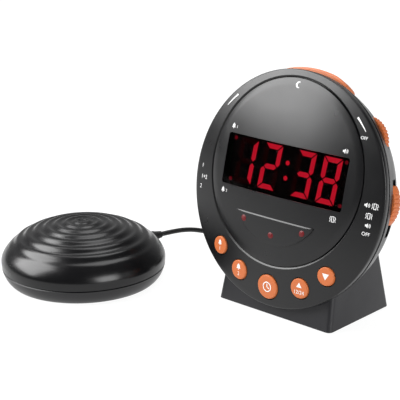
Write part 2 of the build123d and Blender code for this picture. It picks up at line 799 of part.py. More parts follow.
# Stand: a hollow wedge with a saddle for the head
wedge = wedge_form(foot_drop, stand_height, 0)
saddle = head * (rear_bowl(saddle_gap) + rod(face_radius + 1, rear_front - seat, dome_rise))
saddle_skin = head * (rear_bowl(saddle_gap + stand_wall) + rod(face_radius + 1, rear_front - seat, dome_rise))
stand_body = wedge - saddle
hollow = wedge_form(foot_drop, stand_height - stand_wall, stand_wall)
stand_shell = stand_body - (hollow - saddle_skin)
base_screw_places = mirrored([base_screw_place, (base_screw_place[0], -base_screw_place[1])])
for x, y in base_screw_places:
    stand_shell += rod(base_boss_radius, base_top + seat, stand_height, x, y) & stand_body
for x, y in stand_screw_places:
    stand_shell += rod(pilot + 2.7, stand_screw_seat, stand_height, x, y) & stand_body
for x, y in base_screw_places:
    stand_shell -= rod(pilot, foot_drop, base_top + base_screw_length, x, y)
for x, y in stand_screw_places:
    stand_shell -= rod(clear_hole, stand_screw_seat, stand_height, x, y)
door_slot = block(-door_half - door_play, door_half + door_play, bay_front, stand_depth, 0, door_top + slip)
door_slot += block(-bay_half, bay_half, bay_front, stand_depth, tongue_low - slip, door_top + slip)
stand_shell -= door_slot
save("stand_shell", stand_shell)
stand_screws = [
    screw(x, y, stand_screw_seat, 1, shank, head_radius, head_height, stand_screw_length)
    for x, y in stand_screw_places]
save("stand_screws", *stand_screws)

# Base plate with foot pockets, screw recesses and the cell bay
stand_base = wedge_form(foot_drop, base_top, stand_wall + base_clear)
stand_base -= door_slot
stand_base -= block(-bay_half, bay_half, bay_front, stand_depth, tongue_low - slip, base_top + 1)
foot_places = mirrored([foot_place, (foot_place[0], -foot_place[1])])
for x, y in foot_places:
    stand_base -= rod(foot_radius + slip, 0, foot_drop + foot_sink, x, y)
for x, y in base_screw_places:
    stand_base -= rod(head_radius + 2 * slip, 0, foot_drop + head_height - slip, x, y)
    stand_base -= rod(clear_hole, 0, base_top + 1, x, y)
bay_rear = cell_y + cell_pitch + cell_radius - 1
for side in SIDES:
    stand_base += block(
        side * bay_half, side * (bay_half + bay_wall), bay_front - bay_wall, bay_rear,
        base_top - slip, bay_height)
stand_base += block(-bay_half, bay_half, bay_front - bay_wall, bay_front, base_top - slip, bay_height / 2)
save("stand_base", stand_base)
save("stand_feet", *[rod(foot_radius, 0, foot_drop + foot_sink - seat, x, y) for x, y in foot_places])
base_seat = foot_drop + head_height - slip - seat
base_screws = [
    screw(x, y, base_seat, 1, shank, head_radius, head_height - 3 * slip, base_screw_length)
    for x, y in base_screw_places]
save("base_screws", *base_screws)

# Sliding door and the cells above it
door_z = math.tan(math.radians(rear_lean)) * door_top
door_rear = stand_depth / 2 - door_z - slip
door_front = bay_front + gap
battery_door = block(-door_half, door_half, door_front, door_rear, foot_drop, door_top)
battery_door += block(
    -door_half - door_tongue, door_half + door_tongue, door_front, door_rear, tongue_low, door_top)
for step in range(4):
    rib_y = door_rear - 3 - 1.8 * step
    battery_door -= block(-8, 8, rib_y - 0.5, rib_y, 0, foot_drop + 0.4)
save("battery_door", battery_door)
cells = []
contacts = []
along_x = Rot(0, 90, 0)
cell = rod(cell_radius, -cell_length / 2, cell_length / 2 - cell_nub)
cell += rod(cell_nub_radius, 0, cell_length / 2)
for row, side in enumerate(SIDES):
    row_place = Pos(0, cell_y + row * cell_pitch, cell_z)
    facing = Rot(0, 0, 0) if side > 0 else Rot(0, 0, 180)
    cells.append(row_place * (facing * (along_x * cell)))
for side in SIDES:
    plate_x = side * (bay_half - slip)
    plate_in = plate_x - side * contact_plate
    contact = block(
        plate_in, plate_x, cell_y - contact_radius, cell_y + cell_pitch + contact_radius,
        cell_z - contact_radius, cell_z + contact_radius)
    for row in range(2):
        reach = abs(plate_in) - cell_length / 2 - seat
        finger = along_x * Cylinder(contact_radius, reach)
        finger_x = side * (cell_length / 2 + seat + reach / 2)
        contact += Pos(finger_x, cell_y + row * cell_pitch, cell_z) * finger
    contacts.append(contact)
save("battery_cells", *cells)
save("battery_contacts", *contacts)


def bezier(t, *controls):
    """A point on a Bezier curve of any degree."""
    while len(controls) > 1:
        pairs = zip(controls, controls[1:])
        controls = [tuple(p + (q - p) * t for p, q in zip(a, b)) for a, b in pairs]
    return controls[0]


# Shaker puck: rippled top shell and plain bottom shell about their own axis
shaker = Pos(shaker_x, shaker_y, 0)
shoulder = (
    (0, shaker_height), (shaker_radius * 0.743, shaker_height),
    (shaker_radius, shaker_widest + 6.3), (shaker_radius, shaker_widest))
skirt = ((shaker_radius, shaker_widest), (shaker_radius, shaker_widest * 0.32), (shaker_base_radius, 0))
top_points = []
for step in range(57):
    top_r, top_z = bezier(step / 56, *shoulder)
    fade = min(1.0, max(0.0, (ripple_end + ripple_fade - top_r) / ripple_fade))
    swell = math.cos(2 * math.pi * (top_r - ripple_first) / ripple_pitch)
    top_points.append((top_r, top_z + ripple_height * fade * swell))
puck_outline = Spline(*top_points) + Bezier(*skirt)
puck_outline += Polyline(skirt[-1], (0, 0), top_points[0])
puck = lathe(puck_outline)
room_top = shaker_height - puck_wall - ripple_height
room_radius = shaker_radius - puck_wall
room_shoulder = (
    (0, room_top), (room_radius * 0.72, room_top),
    (room_radius, shaker_widest + 5), (room_radius, shaker_widest))
room_skirt = (
    (room_radius, shaker_widest), (room_radius, shaker_widest * 0.4), (shaker_base_radius - 1, puck_wall))
room_outline = Bezier(*room_shoulder) + Bezier(*room_skirt)
room_outline += Polyline(room_skirt[-1], (0, puck_wall), room_shoulder[0])
room = lathe(room_outline)
upper = rod(shaker_radius + 1, seam_height + seam_groove / 2, shaker_height + 2)
lower = rod(shaker_radius + 1, 0, seam_height - seam_groove / 2)
shaker_screw_places = [polar(shaker_screw_ring, 45 + 90 * step) for step in range(4)]
relief_dir = (math.cos(math.radians(relief_turn)), math.sin(math.radians(relief_turn)), 0)
relief_axis = Plane(origin=(0, 0, relief_height), x_dir=(0, 0, 1), z_dir=relief_dir).location

shaker_top = (puck & upper) - room
for x, y in shaker_screw_places:
    pillar = rod(boss_radius + 0.2, seam_height + seam_groove / 2, shaker_height, x, y) & puck
    shaker_top += pillar
    shaker_top -= rod(pilot, seam_height, seam_height + 9, x, y)
shaker_top -= relief_axis * rod(relief_neck + slip, shaker_radius / 2, shaker_radius + 5)
save("shaker_top", shaker * shaker_top)

tongue_outer = room_radius - 3 * slip
shaker_bottom = (puck & lower) - room
shaker_bottom += pipe(tongue_outer, tongue_outer - 1.6, seam_height - 4, seam_height + 1.6)
for x, y in shaker_screw_places:
    shaker_bottom -= rod(boss_radius + 1, seam_height, seam_height + 3, x, y)
    shaker_bottom += rod(rear_boss_radius, 0, seam_height - seam_groove / 2, x, y)
    shaker_bottom -= rod(counterbore, 0, seam_height / 2, x, y)
    shaker_bottom -= rod(clear_hole, 0, seam_height, x, y)
motor_front = motor_back + motor_length
cradle_width = 3.0
for cradle_x in (motor_back + 3, motor_front - 3 - cradle_width):
    rib = block(
        cradle_x, cradle_x + cradle_width, -motor_radius, motor_radius, puck_wall - seat, motor_axis - 6)
    shaker_bottom += rib
barrel = Pos(0, 0, motor_axis) * (along_x * rod(motor_radius + slip, motor_back - 1, motor_front + 1))
shaker_bottom -= barrel
clamp_middle = (motor_back + motor_front) / 2
clamp_foot = motor_axis - 2
for side in SIDES:
    shaker_bottom += rod(boss_radius, puck_wall - seat, clamp_foot - seat, clamp_middle, side * clamp_reach)
    shaker_bottom -= rod(pilot, clamp_foot - 8, clamp_foot, clamp_middle, side * clamp_reach)
save("shaker_bottom", shaker * shaker_bottom)
shaker_screws = [
    shaker * screw(x, y, seam_height / 2, 1, shank, head_radius, head_height, 12)
    for x, y in shaker_screw_places]
save("shaker_screws", *shaker_screws)

# Motor lying in its cradle, held by a clamp, with an off-centre weight on its shaft
motor = along_x * rod(motor_radius, motor_back, motor_front)
motor += along_x * rod(motor_radius / 2, motor_front, motor_front + 2)
shaft_start = motor_front - 8
motor -= along_x * rod(shaft_radius + shaft_fit, shaft_start - gap, motor_front + 3)
motor_place = shaker * Pos(0, 0, motor_axis)
save("shaker_motor", motor_place * motor)
weight_end = weight_start + weight_length
save("motor_shaft", motor_place * (along_x * rod(shaft_radius, shaft_start, weight_end + 1)))
weight = rod(weight_radius, weight_start, weight_end)
weight -= block(0, 2 * weight_radius, -weight_radius, weight_radius, 0, weight_end + 1)
hub = rod(weight_radius / 3, weight_start, weight_end)
weight = weight + hub - rod(shaft_radius, 0, weight_end + 1)
save("eccentric_weight", motor_place * (along_x * weight))
strap_outer = motor_radius + slip + clamp_thickness
clamp_lip = clamp_foot - motor_axis
strap = along_x * pipe(strap_outer, motor_radius + slip, -clamp_width / 2, clamp_width / 2)
strap &= block(-clamp_width, clamp_width, -strap_outer, strap_outer, clamp_lip, strap_outer)
for side in SIDES:
    ear = block(
        -clamp_width / 2, clamp_width / 2, side * (motor_radius + slip + seat), side * (clamp_reach + 3.2),
        clamp_lip, clamp_lip + clamp_thickness)
    ear -= rod(clear_hole, clamp_lip - 1, clamp_lip + 3, 0, side * clamp_reach)
    strap += ear
save("motor_clamp", motor_place * (Pos(clamp_middle, 0, 0) * strap))
clamp_seat = clamp_foot + clamp_thickness
clamp_screws = [
    shaker * screw(clamp_middle, side * clamp_reach, clamp_seat, -1, shank, head_radius, head_height, 8)
    for side in SIDES]
save("clamp_screws", *clamp_screws)

# Strain relief where the cord leaves the puck
relief_in = room_radius - relief_set_in
relief_out = shaker_radius + slip
strain_relief = turned(
    (0, relief_in - 2), (relief_neck + relief_flange, relief_in - 2), (relief_neck + relief_flange, relief_in),
    (relief_neck, relief_in), (relief_neck, relief_out), (relief_neck + relief_collar, relief_out),
    (relief_neck + relief_collar, relief_out + 2), (relief_neck, relief_out + 2), (relief_tip, relief_end),
    (0, relief_end))
save("strain_relief", shaker * (relief_axis * strain_relief))

# Cord: a lead from the puck, the spare length coiled behind the clock, and a tail up to the plug
coil_inner = coil_outer - coil_pitch * layer_turns


def coil_point(turn):
    """Centre line of the coil: it spirals in and out and climbs one layer at each reversal."""
    layer = min(int(turn / layer_turns), coil_layers - 1)
    part = turn - layer * layer_turns
    reach = coil_outer - coil_pitch * part if layer % 2 == 0 else coil_inner + coil_pitch * part
    climb = 0.0
    for change in range(1, coil_layers):
        share = min(1.0, max(0.0, 2 * (turn - change * layer_turns) + 0.5))
        climb += (1 - math.cos(math.pi * share)) / 2
    x, y = polar(reach, coil_entry - 360 * turn)
    return Vector(coil_x + x, coil_y + y, cord_rest + coil_pitch * climb)


def coil_heading(turn):
    """Direction of the coil's centre line."""
    step = 0.01
    return (coil_point(turn + step) - coil_point(turn - step)).normalized()


def biarc(start, start_dir, end, end_dir):
    """Two tangent arcs that leave and arrive along given directions."""
    chord = end - start
    spread = 2 * (1 - start_dir.dot(end_dir))
    along = chord.dot(start_dir + end_dir)
    reach = (math.sqrt(along ** 2 + spread * chord.dot(chord)) - along) / spread
    joint = (start + end + (start_dir - end_dir) * reach) * 0.5
    first = Edge.make_tangent_arc(start, start_dir, joint)
    return [first, Edge.make_tangent_arc(joint, first.tangent_at(1), end)]


def tube(path):
    """The cord's round section along a path."""
    section = Plane(origin=path.position_at(0), z_dir=path.tangent_at(0)) * Circle(cord_radius)
    return sweep(section, path=path)


def cord_run(points):
    """Straight runs joined by the widest tangent arcs that fit."""
    runs = [b - a for a, b in zip(points, points[1:])]
    radii = []
    for before, after in zip(runs, runs[1:]):
        half_turn = math.radians(before.get_angle(after)) / 2
        radii.append(0.45 * min(before.length, after.length) / math.tan(half_turn))
    print("cord radii", [round(value, 1) for value in radii])
    return FilletPolyline(*points, radius=radii)


def report_cord(name, path, solid):
    """Print a stretch's length and how its volume compares with section times length."""
    length = path.length
    ratio = solid.volume / (math.pi * cord_radius ** 2 * length)
    print(name, "length", round(length, 1), "volume ratio", round(ratio, 4))


quarters = round(coil_turns * 4)
coil_points = [coil_point(step / 4) for step in range(quarters + 1)]
coil_dirs = [coil_heading(step / 4) for step in range(quarters + 1)]
coil_start = coil_points[0] - coil_dirs[0] * cord_diameter
coil_end = coil_points[-1] + coil_dirs[-1] * cord_diameter
coil_edges = [Edge.make_line(coil_start, coil_points[0])]
for step in range(quarters):
    coil_edges += biarc(coil_points[step], coil_dirs[step], coil_points[step + 1], coil_dirs[step + 1])
coil_edges.append(Edge.make_line(coil_points[-1], coil_end))
coil_path = Wire(coil_edges)
cord_coil = tube(coil_path)
save("cord_coil", cord_coil)
report_cord("coil", coil_path, cord_coil)
samples = round(coil_path.length / 2)
track = [coil_path.position_at(step / samples) for step in range(samples + 1)]
apart = round(6 * cord_diameter / 2)
least = min(
    (track[i] - track[j]).length for i in range(samples + 1) for j in range(i + apart, samples + 1))
print("coil least gap", round(least - cord_diameter, 2))

relief_x = shaker_x + relief_end * relief_dir[0]
relief_y = shaker_y + relief_end * relief_dir[1]
lead_start = Vector(relief_x, relief_y, relief_height)
lead_points = [
    lead_start,
    lead_start + Vector(*relief_dir) * 11.5,
    Vector(-116.3, 24.2, 13.9),
    Vector(-113.1, 35.6, 10.2),
    Vector(-109.2, 46.6, 6.0),
    coil_start - coil_dirs[0] * 10.5,
    coil_start,
]
lead_path = cord_run(lead_points)
cord_lead = tube(lead_path)
save("cord_lead", cord_lead)
report_cord("lead", lead_path, cord_lead)

plug_end = (head * Pos(-socket_side, socket_y, boot_end)).position
plug_dir = Vector(*out_of_face) * -1
tail_points = [
    coil_end,
    coil_end + coil_dirs[-1] * 9.5,
    Vector(-44.0, 69.8, 16.8),
    Vector(-34.5, 70.4, 21.5),
    Vector(-25.3, 69.0, 27.6),
    Vector(-17.4, 63.5, 34.6),
    plug_end + plug_dir * 10,
    plug_end,
]
tail_path = cord_run(tail_points)
cord_tail = tube(tail_path)
save("cord_tail", cord_tail)
report_cord("tail", tail_path, cord_tail)

# Strap round the coil's bundle
strap_in = coil_inner - cord_radius - tie_width / 4 - tie_slack
strap_out = coil_outer + cord_radius + coil_pitch / 4 + tie_slack
strap_low = cord_rest - cord_radius - tie_slack
strap_high = cord_rest + coil_pitch * (coil_layers - 1) + cord_radius + tie_slack
coil_tie = block(
    strap_in - tie_thickness, strap_out + tie_thickness, -tie_width / 2, tie_width / 2,
    strap_low - tie_thickness, strap_high + tie_thickness)
coil_tie -= block(strap_in, strap_out, -tie_width, tie_width, strap_low, strap_high)
save("coil_tie", Pos(coil_x, coil_y, 0) * (Rot(0, 0, tie_turn) * coil_tie))
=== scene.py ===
# %% [markdown]
# A bedside alarm clock with a bed shaker: a domed round head on a wedge stand, a red time display,
# orange keys, and a round rippled puck on a cord that goes under the mattress.
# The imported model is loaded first. It fixes every size and place, so the dressed pieces are built
# in the same frame, in metres, and nothing is moved to fit afterwards.

# %% Load the frame
import math

import bmesh
import bpy
from mathutils import Matrix, Vector


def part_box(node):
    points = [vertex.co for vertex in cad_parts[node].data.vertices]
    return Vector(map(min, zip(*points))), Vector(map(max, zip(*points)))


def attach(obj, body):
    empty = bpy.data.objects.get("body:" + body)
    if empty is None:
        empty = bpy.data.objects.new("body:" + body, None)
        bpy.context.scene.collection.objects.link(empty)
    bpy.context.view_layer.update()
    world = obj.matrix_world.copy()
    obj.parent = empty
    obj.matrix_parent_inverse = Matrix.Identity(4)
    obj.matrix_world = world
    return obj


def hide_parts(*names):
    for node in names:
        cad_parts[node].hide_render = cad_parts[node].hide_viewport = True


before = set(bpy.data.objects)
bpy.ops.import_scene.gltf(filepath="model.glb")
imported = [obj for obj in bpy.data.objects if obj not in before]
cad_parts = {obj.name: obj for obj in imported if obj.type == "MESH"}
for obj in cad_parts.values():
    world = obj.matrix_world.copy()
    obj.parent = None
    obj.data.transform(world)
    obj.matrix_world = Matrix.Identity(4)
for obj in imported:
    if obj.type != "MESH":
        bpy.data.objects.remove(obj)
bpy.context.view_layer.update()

MM = 0.001
print("nodes in the frame:", len(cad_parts))

# %% [markdown]
# The camera comes first, so that every later step can be judged from the view that matters.
# It stands to the right of the clock and a little above it. A long lens keeps the round face from
# bulging, as a product photographer would choose. Its three axes are worked out from a turn, a rise
# and a small roll.

# %% Camera
CAMERA_TURN = math.radians(43.25)
CAMERA_RISE = math.radians(17.85)
CAMERA_ROLL = math.radians(-0.62)
CAMERA_PLACE = Vector((464.84, -584.43, 305.48)) * MM
FOCAL_PIXELS = 1319.8
IMAGE_PIXELS = 400
SENSOR_WIDTH = 36.0

toward = Vector((math.sin(CAMERA_TURN) * math.cos(CAMERA_RISE),
                 -math.cos(CAMERA_TURN) * math.cos(CAMERA_RISE),
                 math.sin(CAMERA_RISE)))
level = Vector((math.cos(CAMERA_TURN), math.sin(CAMERA_TURN), 0.0))
upright = toward.cross(level)
camera_right = level * math.cos(CAMERA_ROLL) + upright * math.sin(CAMERA_ROLL)
camera_up = upright * math.cos(CAMERA_ROLL) - level * math.sin(CAMERA_ROLL)
bpy.ops.object.camera_add()
camera = bpy.context.object
camera.matrix_world = (Matrix.Translation(CAMERA_PLACE)
                       @ Matrix((camera_right, camera_up, toward)).transposed().to_4x4())
camera.data.sensor_width = SENSOR_WIDTH
camera.data.lens = SENSOR_WIDTH * FOCAL_PIXELS / IMAGE_PIXELS
bpy.context.scene.camera = camera
print("camera lens in mm:", round(camera.data.lens, 1))

# %% [markdown]
# The cord runs from the puck to a socket in the back of the clock. Its slack is wound into a tied
# coil behind the clock, as it would be on a bedside table. A cord could be a swept tube, but a NURBS
# curve with a round bevel stays smooth and keeps its true length, so the route is a list of guide
# points and the coil is a loop that winds in and out, layer by layer.

# %% Cord route
CORD_DIAMETER = 3.2
CORD_REST = 2.7
SHAKER = Vector((-132.5, -58.5, 0.0))
RELIEF_TURN = math.radians(79.0)
RELIEF_HEIGHT = 15.5
RELIEF_END = 60.0
RELIEF_LEAD = 11.5
LEAD_GUIDES = ((-116.3, 24.2, 13.9), (-113.1, 35.6, 10.2), (-109.2, 46.6, 6.0))
COIL = Vector((-76.0, 56.0, 0.0))
COIL_OUTER = 24.2
COIL_PITCH = 3.75
LAYER_TURNS = 3.75
COIL_LAYERS = 4
COIL_TURNS = 15.25
COIL_ENTRY = math.radians(150.0)
COIL_STEPS = 16
COIL_LEAD_IN = 10.5
COIL_LEAD_OUT = 9.5
TAIL_GUIDES = ((-44.0, 69.8, 16.8), (-34.5, 70.4, 21.5), (-25.3, 69.0, 27.6), (-17.4, 63.5, 34.6))
PLUG_LEAD = 10.0
PLUG_END = Vector((-12.5, 44.54, 43.38))
PLUG_AXIS = Vector((0.0, 0.9763, -0.2164))


def coil_point(turn, spread=1.0):
    """A point of the coil: it winds inwards and outwards by turns, and climbs a layer each time."""
    layer = min(int(turn / LAYER_TURNS), COIL_LAYERS - 1)
    part = turn - LAYER_TURNS * layer
    inward = COIL_OUTER - COIL_PITCH * part
    outward = COIL_OUTER - COIL_PITCH * (LAYER_TURNS - part)
    radius = (inward if layer % 2 == 0 else outward) * spread
    climb = 0.0
    for step in range(1, COIL_LAYERS):
        share = min(max(2 * (turn - LAYER_TURNS * step) + 0.5, 0.0), 1.0)
        climb += (1 - math.cos(math.pi * share)) / 2
    angle = COIL_ENTRY - 2 * math.pi * turn
    return COIL + Vector((radius * math.cos(angle), radius * math.sin(angle),
                          CORD_REST + COIL_PITCH * climb))


def coil_heading(turn):
    """The way the cord runs at a point of the coil, level with the table."""
    step = 0.002
    way = coil_point(min(turn + step, COIL_TURNS)) - coil_point(max(turn - step, 0.0))
    way.z = 0.0
    return way.normalized()


relief_way = Vector((math.cos(RELIEF_TURN), math.sin(RELIEF_TURN), 0.0))
relief_tip = SHAKER + relief_way * RELIEF_END + Vector((0.0, 0.0, RELIEF_HEIGHT))
coil_start, coil_end = coil_point(0.0), coil_point(COIL_TURNS)
route = [relief_tip, relief_tip + relief_way * RELIEF_LEAD, *map(Vector, LEAD_GUIDES),
         coil_start - coil_heading(0.0) * COIL_LEAD_IN]
# A quadratic spline rounds off its guide points, so they stand a little outside the coil.
guide_spread = 1 / math.cos(math.pi / COIL_STEPS)
for step in range(int(COIL_TURNS * COIL_STEPS) + 1):
    route.append(coil_point(step / COIL_STEPS, guide_spread))
route += [coil_end + coil_heading(COIL_TURNS) * COIL_LEAD_OUT, *map(Vector, TAIL_GUIDES),
          PLUG_END + PLUG_AXIS * PLUG_LEAD, PLUG_END]
print("guide points of the cord:", len(route))

# %% Cord curve
cord_curve = bpy.data.curves.new("shaker_cord", "CURVE")
cord_curve.dimensions = "3D"
cord_curve.bevel_depth = CORD_DIAMETER / 2 * MM
cord_curve.bevel_resolution = 4
cord_curve.resolution_u = 4
cord_curve.use_fill_caps = True
spline = cord_curve.splines.new("NURBS")
spline.points.add(len(route) - 1)
for point, guide in zip(spline.points, route):
    point.co = (*(guide * MM), 1.0)
spline.order_u = 3
spline.use_endpoint_u = True
cord = bpy.data.objects.new("shaker_cord", cord_curve)
bpy.context.scene.collection.objects.link(cord)
print("cord length in m:", round(spline.calc_length(), 3))

# %% [markdown]
# A few tools are used by every piece, so they are made once here.
# A turned piece starts as one vertex that is extruded from corner to corner into an outline, and
# the outline is then spun about the Z axis like clay on a wheel. Holes and recesses are cut with a
# Boolean modifier, and edges are rounded with a Bevel modifier.

# %% Shop tools
LINE_MERGE = 0.001
FACE_MERGE = 0.002
ROUND_STEPS = 160


def deselect():
    """Leave edit mode and select nothing."""
    if bpy.context.object and bpy.context.object.mode != "OBJECT":
        bpy.ops.object.mode_set(mode="OBJECT")
    bpy.ops.object.select_all(action="DESELECT")


def pick(piece):
    """Select one piece alone."""
    deselect()
    piece.select_set(True)
    bpy.context.view_layer.objects.active = piece


def adopt(name):
    """Name the piece that was added last."""
    piece = bpy.context.object
    piece.name = name
    return piece


def edit_all(piece):
    """Enter edit mode with the whole piece selected."""
    pick(piece)
    bpy.ops.object.mode_set(mode="EDIT")
    bpy.ops.mesh.select_all(action="SELECT")


def raise_up(height):
    """Extrude what is selected straight up."""
    bpy.ops.mesh.extrude_region_move(TRANSFORM_OT_translate={"value": (0, 0, height * MM)})


def clean(piece, merge=FACE_MERGE):
    """Merge doubled vertices, turn all faces outwards and leave edit mode."""
    edit_all(piece)
    bpy.ops.mesh.remove_doubles(threshold=merge * MM)
    bpy.ops.mesh.normals_make_consistent(inside=False)
    bpy.ops.object.mode_set(mode="OBJECT")
    return piece


def draw_line(name, points, closed=False, fill=False):
    """One vertex extruded from corner to corner, and filled if asked. It is left in edit mode."""
    deselect()
    bpy.ops.mesh.primitive_plane_add(size=MM)
    piece = adopt(name)
    edit_all(piece)
    bpy.ops.mesh.merge(type="CENTER")
    bpy.ops.transform.translate(value=points[0] * MM)
    path = points + points[:1] if closed else points
    for start, end in zip(path, path[1:]):
        bpy.ops.mesh.extrude_vertices_move(TRANSFORM_OT_translate={"value": (end - start) * MM})
    bpy.ops.mesh.select_all(action="SELECT")
    bpy.ops.mesh.remove_doubles(threshold=LINE_MERGE * MM)
    if fill:
        bpy.ops.mesh.edge_face_add()
    return piece


def turn(name, outline, steps=ROUND_STEPS, angle=2 * math.pi, closed=False, fill=False):
    """Spin an outline of (radius, height) about the Z axis."""
    points = [Vector((radius, 0.0, height)) for radius, height in outline]
    piece = draw_line(name, points, closed, fill)
    bpy.ops.mesh.spin(steps=steps, angle=angle, center=(0, 0, 0), axis=(0, 0, 1))
    return clean(piece)


def polar(radius, degrees):
    """A point (x, y) at a radius and an angle."""
    angle = math.radians(degrees)
    return radius * math.cos(angle), radius * math.sin(angle)


def arc(centre, radius, start, end, steps):
    """Points along an arc, in degrees, as (radius, height) or (x, y)."""
    spots = [polar(radius, start + (end - start) * i / steps) for i in range(steps + 1)]
    return [(centre[0] + x, centre[1] + y) for x, y in spots]


def slab(name, outline, low, high):
    """Fill a closed outline of (x, y) and extrude it between two heights."""
    piece = draw_line(name, [Vector((x, y, low)) for x, y in outline], closed=True, fill=True)
    raise_up(high - low)
    return clean(piece)


print("drawing tools ready, steps of a full turn:", ROUND_STEPS)

# %% [markdown]
# Blocks and pegs are the tools that cut pockets and holes, as a milling cutter would. A cut could
# be made by hand, face by face, but a Boolean modifier gives a clean edge at once. When it has been
# applied, the tool is deleted.

# %% Block and cutting tools
def place(piece, matrix):
    """Put a piece in its place and keep that place in its mesh."""
    pick(piece)
    piece.matrix_world = matrix
    bpy.ops.object.transform_apply()
    return piece


def move(piece, x, y, z=0.0):
    """Move a piece by millimetres."""
    return place(piece, Matrix.Translation(Vector((x, y, z)) * MM))


def brick(name, low, high):
    """A box between two corners."""
    deselect()
    low, high = Vector(low), Vector(high)
    bpy.ops.mesh.primitive_cube_add(size=1.0)
    return place(adopt(name), Matrix.Translation((low + high) / 2 * MM)
                 @ Matrix.Diagonal((*((high - low) * MM), 1.0)))


def peg(name, radius, low, high, x=0.0, y=0.0, sides=48):
    """An upright cylinder between two heights."""
    deselect()
    bpy.ops.mesh.primitive_cylinder_add(vertices=sides, radius=radius * MM, depth=(high - low) * MM,
                                        location=Vector((x, y, (low + high) / 2)) * MM)
    bpy.ops.object.transform_apply()
    return adopt(name)


def join(pieces):
    """Make several pieces one mesh."""
    pick(pieces[0])
    for piece in pieces:
        piece.select_set(True)
    bpy.ops.object.join()
    return pieces[0]


def modify(piece, kind, **settings):
    """Add a modifier with its settings and apply it."""
    pick(piece)
    step = piece.modifiers.new(kind.lower(), kind)
    for label, value in settings.items():
        setattr(step, label, value)
    bpy.ops.object.modifier_apply(modifier=step.name)
    return piece


def carve(piece, tool, operation="DIFFERENCE"):
    """Apply a Boolean with a tool piece, and put the tool away."""
    modify(piece, "BOOLEAN", operation=operation, solver="EXACT", object=tool)
    bpy.data.objects.remove(tool)
    return piece


def soften(piece, width, segments=3, angle=35.0):
    """Round the sharp edges with an applied Bevel modifier."""
    return modify(piece, "BEVEL", width=width * MM, segments=segments, limit_method="ANGLE",
                  angle_limit=math.radians(angle), use_clamp_overlap=True)


print("cutting tools ready")

# %% [markdown]
# A finished piece gets its finish, smooth shading by angle, and the body it rides on. Two lists are
# kept on the way: the finishes by name, and the nodes of the frame that a new piece has replaced.

# %% Finishing tools
finishes = {}
dressed = set()


def paint(piece, finish):
    """Give a piece one finish alone."""
    piece.data.materials.clear()
    piece.data.materials.append(finishes[finish])


def finish_piece(piece, body, slot, *replaced, finish=None, angle=32.0):
    """Give a piece its finish, its shading and its body. The slot names the finish, if none is given."""
    pick(piece)
    if replaced:
        piece.name = replaced[0] + "_form"
    bpy.ops.object.shade_smooth_by_angle(angle=math.radians(angle))
    paint(piece, finish or slot)
    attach(piece, body)
    if replaced:
        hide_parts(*replaced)
        dressed.update(replaced)
    print(piece.name, "faces:", len(piece.data.polygons))
    return piece


print("finishing tools ready")

# %% [markdown]
# Moulded plastic is never perfectly even. Two small effects are shared by most finishes, so each is
# a node group: a fine grain that lifts the surface a few thousandths of a millimetre and clouds its
# tone, and a smudge that makes some places a little glossier than others. They read Object
# coordinates, so the pattern stays on the piece.

# %% Grain and smudge groups
GRAIN_SCALE = 2600.0
SMUDGE_SCALE = 60.0


def set_inputs(node, values):
    """Set some of a node's inputs by name."""
    for label, value in values.items():
        node.inputs[label].default_value = value
    return node


def add_node(tree, kind, values):
    """A shader node of a kind, with some of its inputs set."""
    return set_inputs(tree.nodes.new("ShaderNode" + kind), values)


def add_group(tree, group, values):
    """A node that holds a shared group, with some of its inputs set."""
    node = tree.nodes.new("ShaderNodeGroup")
    node.node_tree = group
    return set_inputs(node, values)


def wire(tree, *links):
    """Link nodes, each link as (from node, its output, to node, its input)."""
    for source, output, target, entry in links:
        tree.links.new(source.outputs[output], target.inputs[entry])


def new_group(name, inputs, outputs):
    """A shader node group with named number sockets, and an Object coordinate inside it."""
    group = bpy.data.node_groups.new(name, "ShaderNodeTree")
    for label, value in inputs.items():
        socket = group.interface.new_socket(label, in_out="INPUT", socket_type="NodeSocketFloat")
        socket.default_value = value
    for label in outputs:
        group.interface.new_socket(label, in_out="OUTPUT", socket_type="NodeSocketFloat")
    return (group, group.nodes.new("NodeGroupInput"), group.nodes.new("NodeGroupOutput"),
            group.nodes.new("ShaderNodeTexCoord"))


grain_group, given, result, coordinate = new_group(
    "moulded_grain", {"Scale": GRAIN_SCALE, "Cloud Scale": 45.0}, ("Height", "Tone"))
for label, detail, output in (("Scale", 3.0, "Height"), ("Cloud Scale", 2.0, "Tone")):
    noise = add_node(grain_group, "TexNoise", {"Detail": detail})
    wire(grain_group, (coordinate, "Object", noise, "Vector"), (given, label, noise, "Scale"),
         (noise, "Fac", result, output))

smudge_group, given, result, coordinate = new_group(
    "hand_smudge", {"Scale": SMUDGE_SCALE, "Glossy": 0.3, "Dull": 0.5}, ("Roughness",))
patch = add_node(smudge_group, "TexNoise", {"Detail": 5.0, "Roughness": 0.6})
spread = add_node(smudge_group, "MapRange", {"From Min": 0.3, "From Max": 0.7})
wire(smudge_group, (coordinate, "Object", patch, "Vector"), (given, "Scale", patch, "Scale"),
     (patch, "Fac", spread, "Value"), (given, "Glossy", spread, "To Min"),
     (given, "Dull", spread, "To Max"), (spread, "Result", result, "Roughness"))
print("shared effects:", grain_group.name, smudge_group.name)

# %% [markdown]
# Every finish is a Principled shader. The plastics share one recipe: a colour that clouds slightly
# between two near tones, a roughness that varies with handling, and a fine grain in the normal.
# Only the numbers differ from the satin face to the matte cord.

# %% Plastic recipe
GRAIN_STRENGTH = 0.35
TONE_VARIATION = 0.12


def new_material(name):
    """A new finish, as its node tree and its Principled shader."""
    finishes[name] = bpy.data.materials.new(name)
    finishes[name].use_nodes = True
    tree = finishes[name].node_tree
    return tree, tree.nodes["Principled BSDF"]


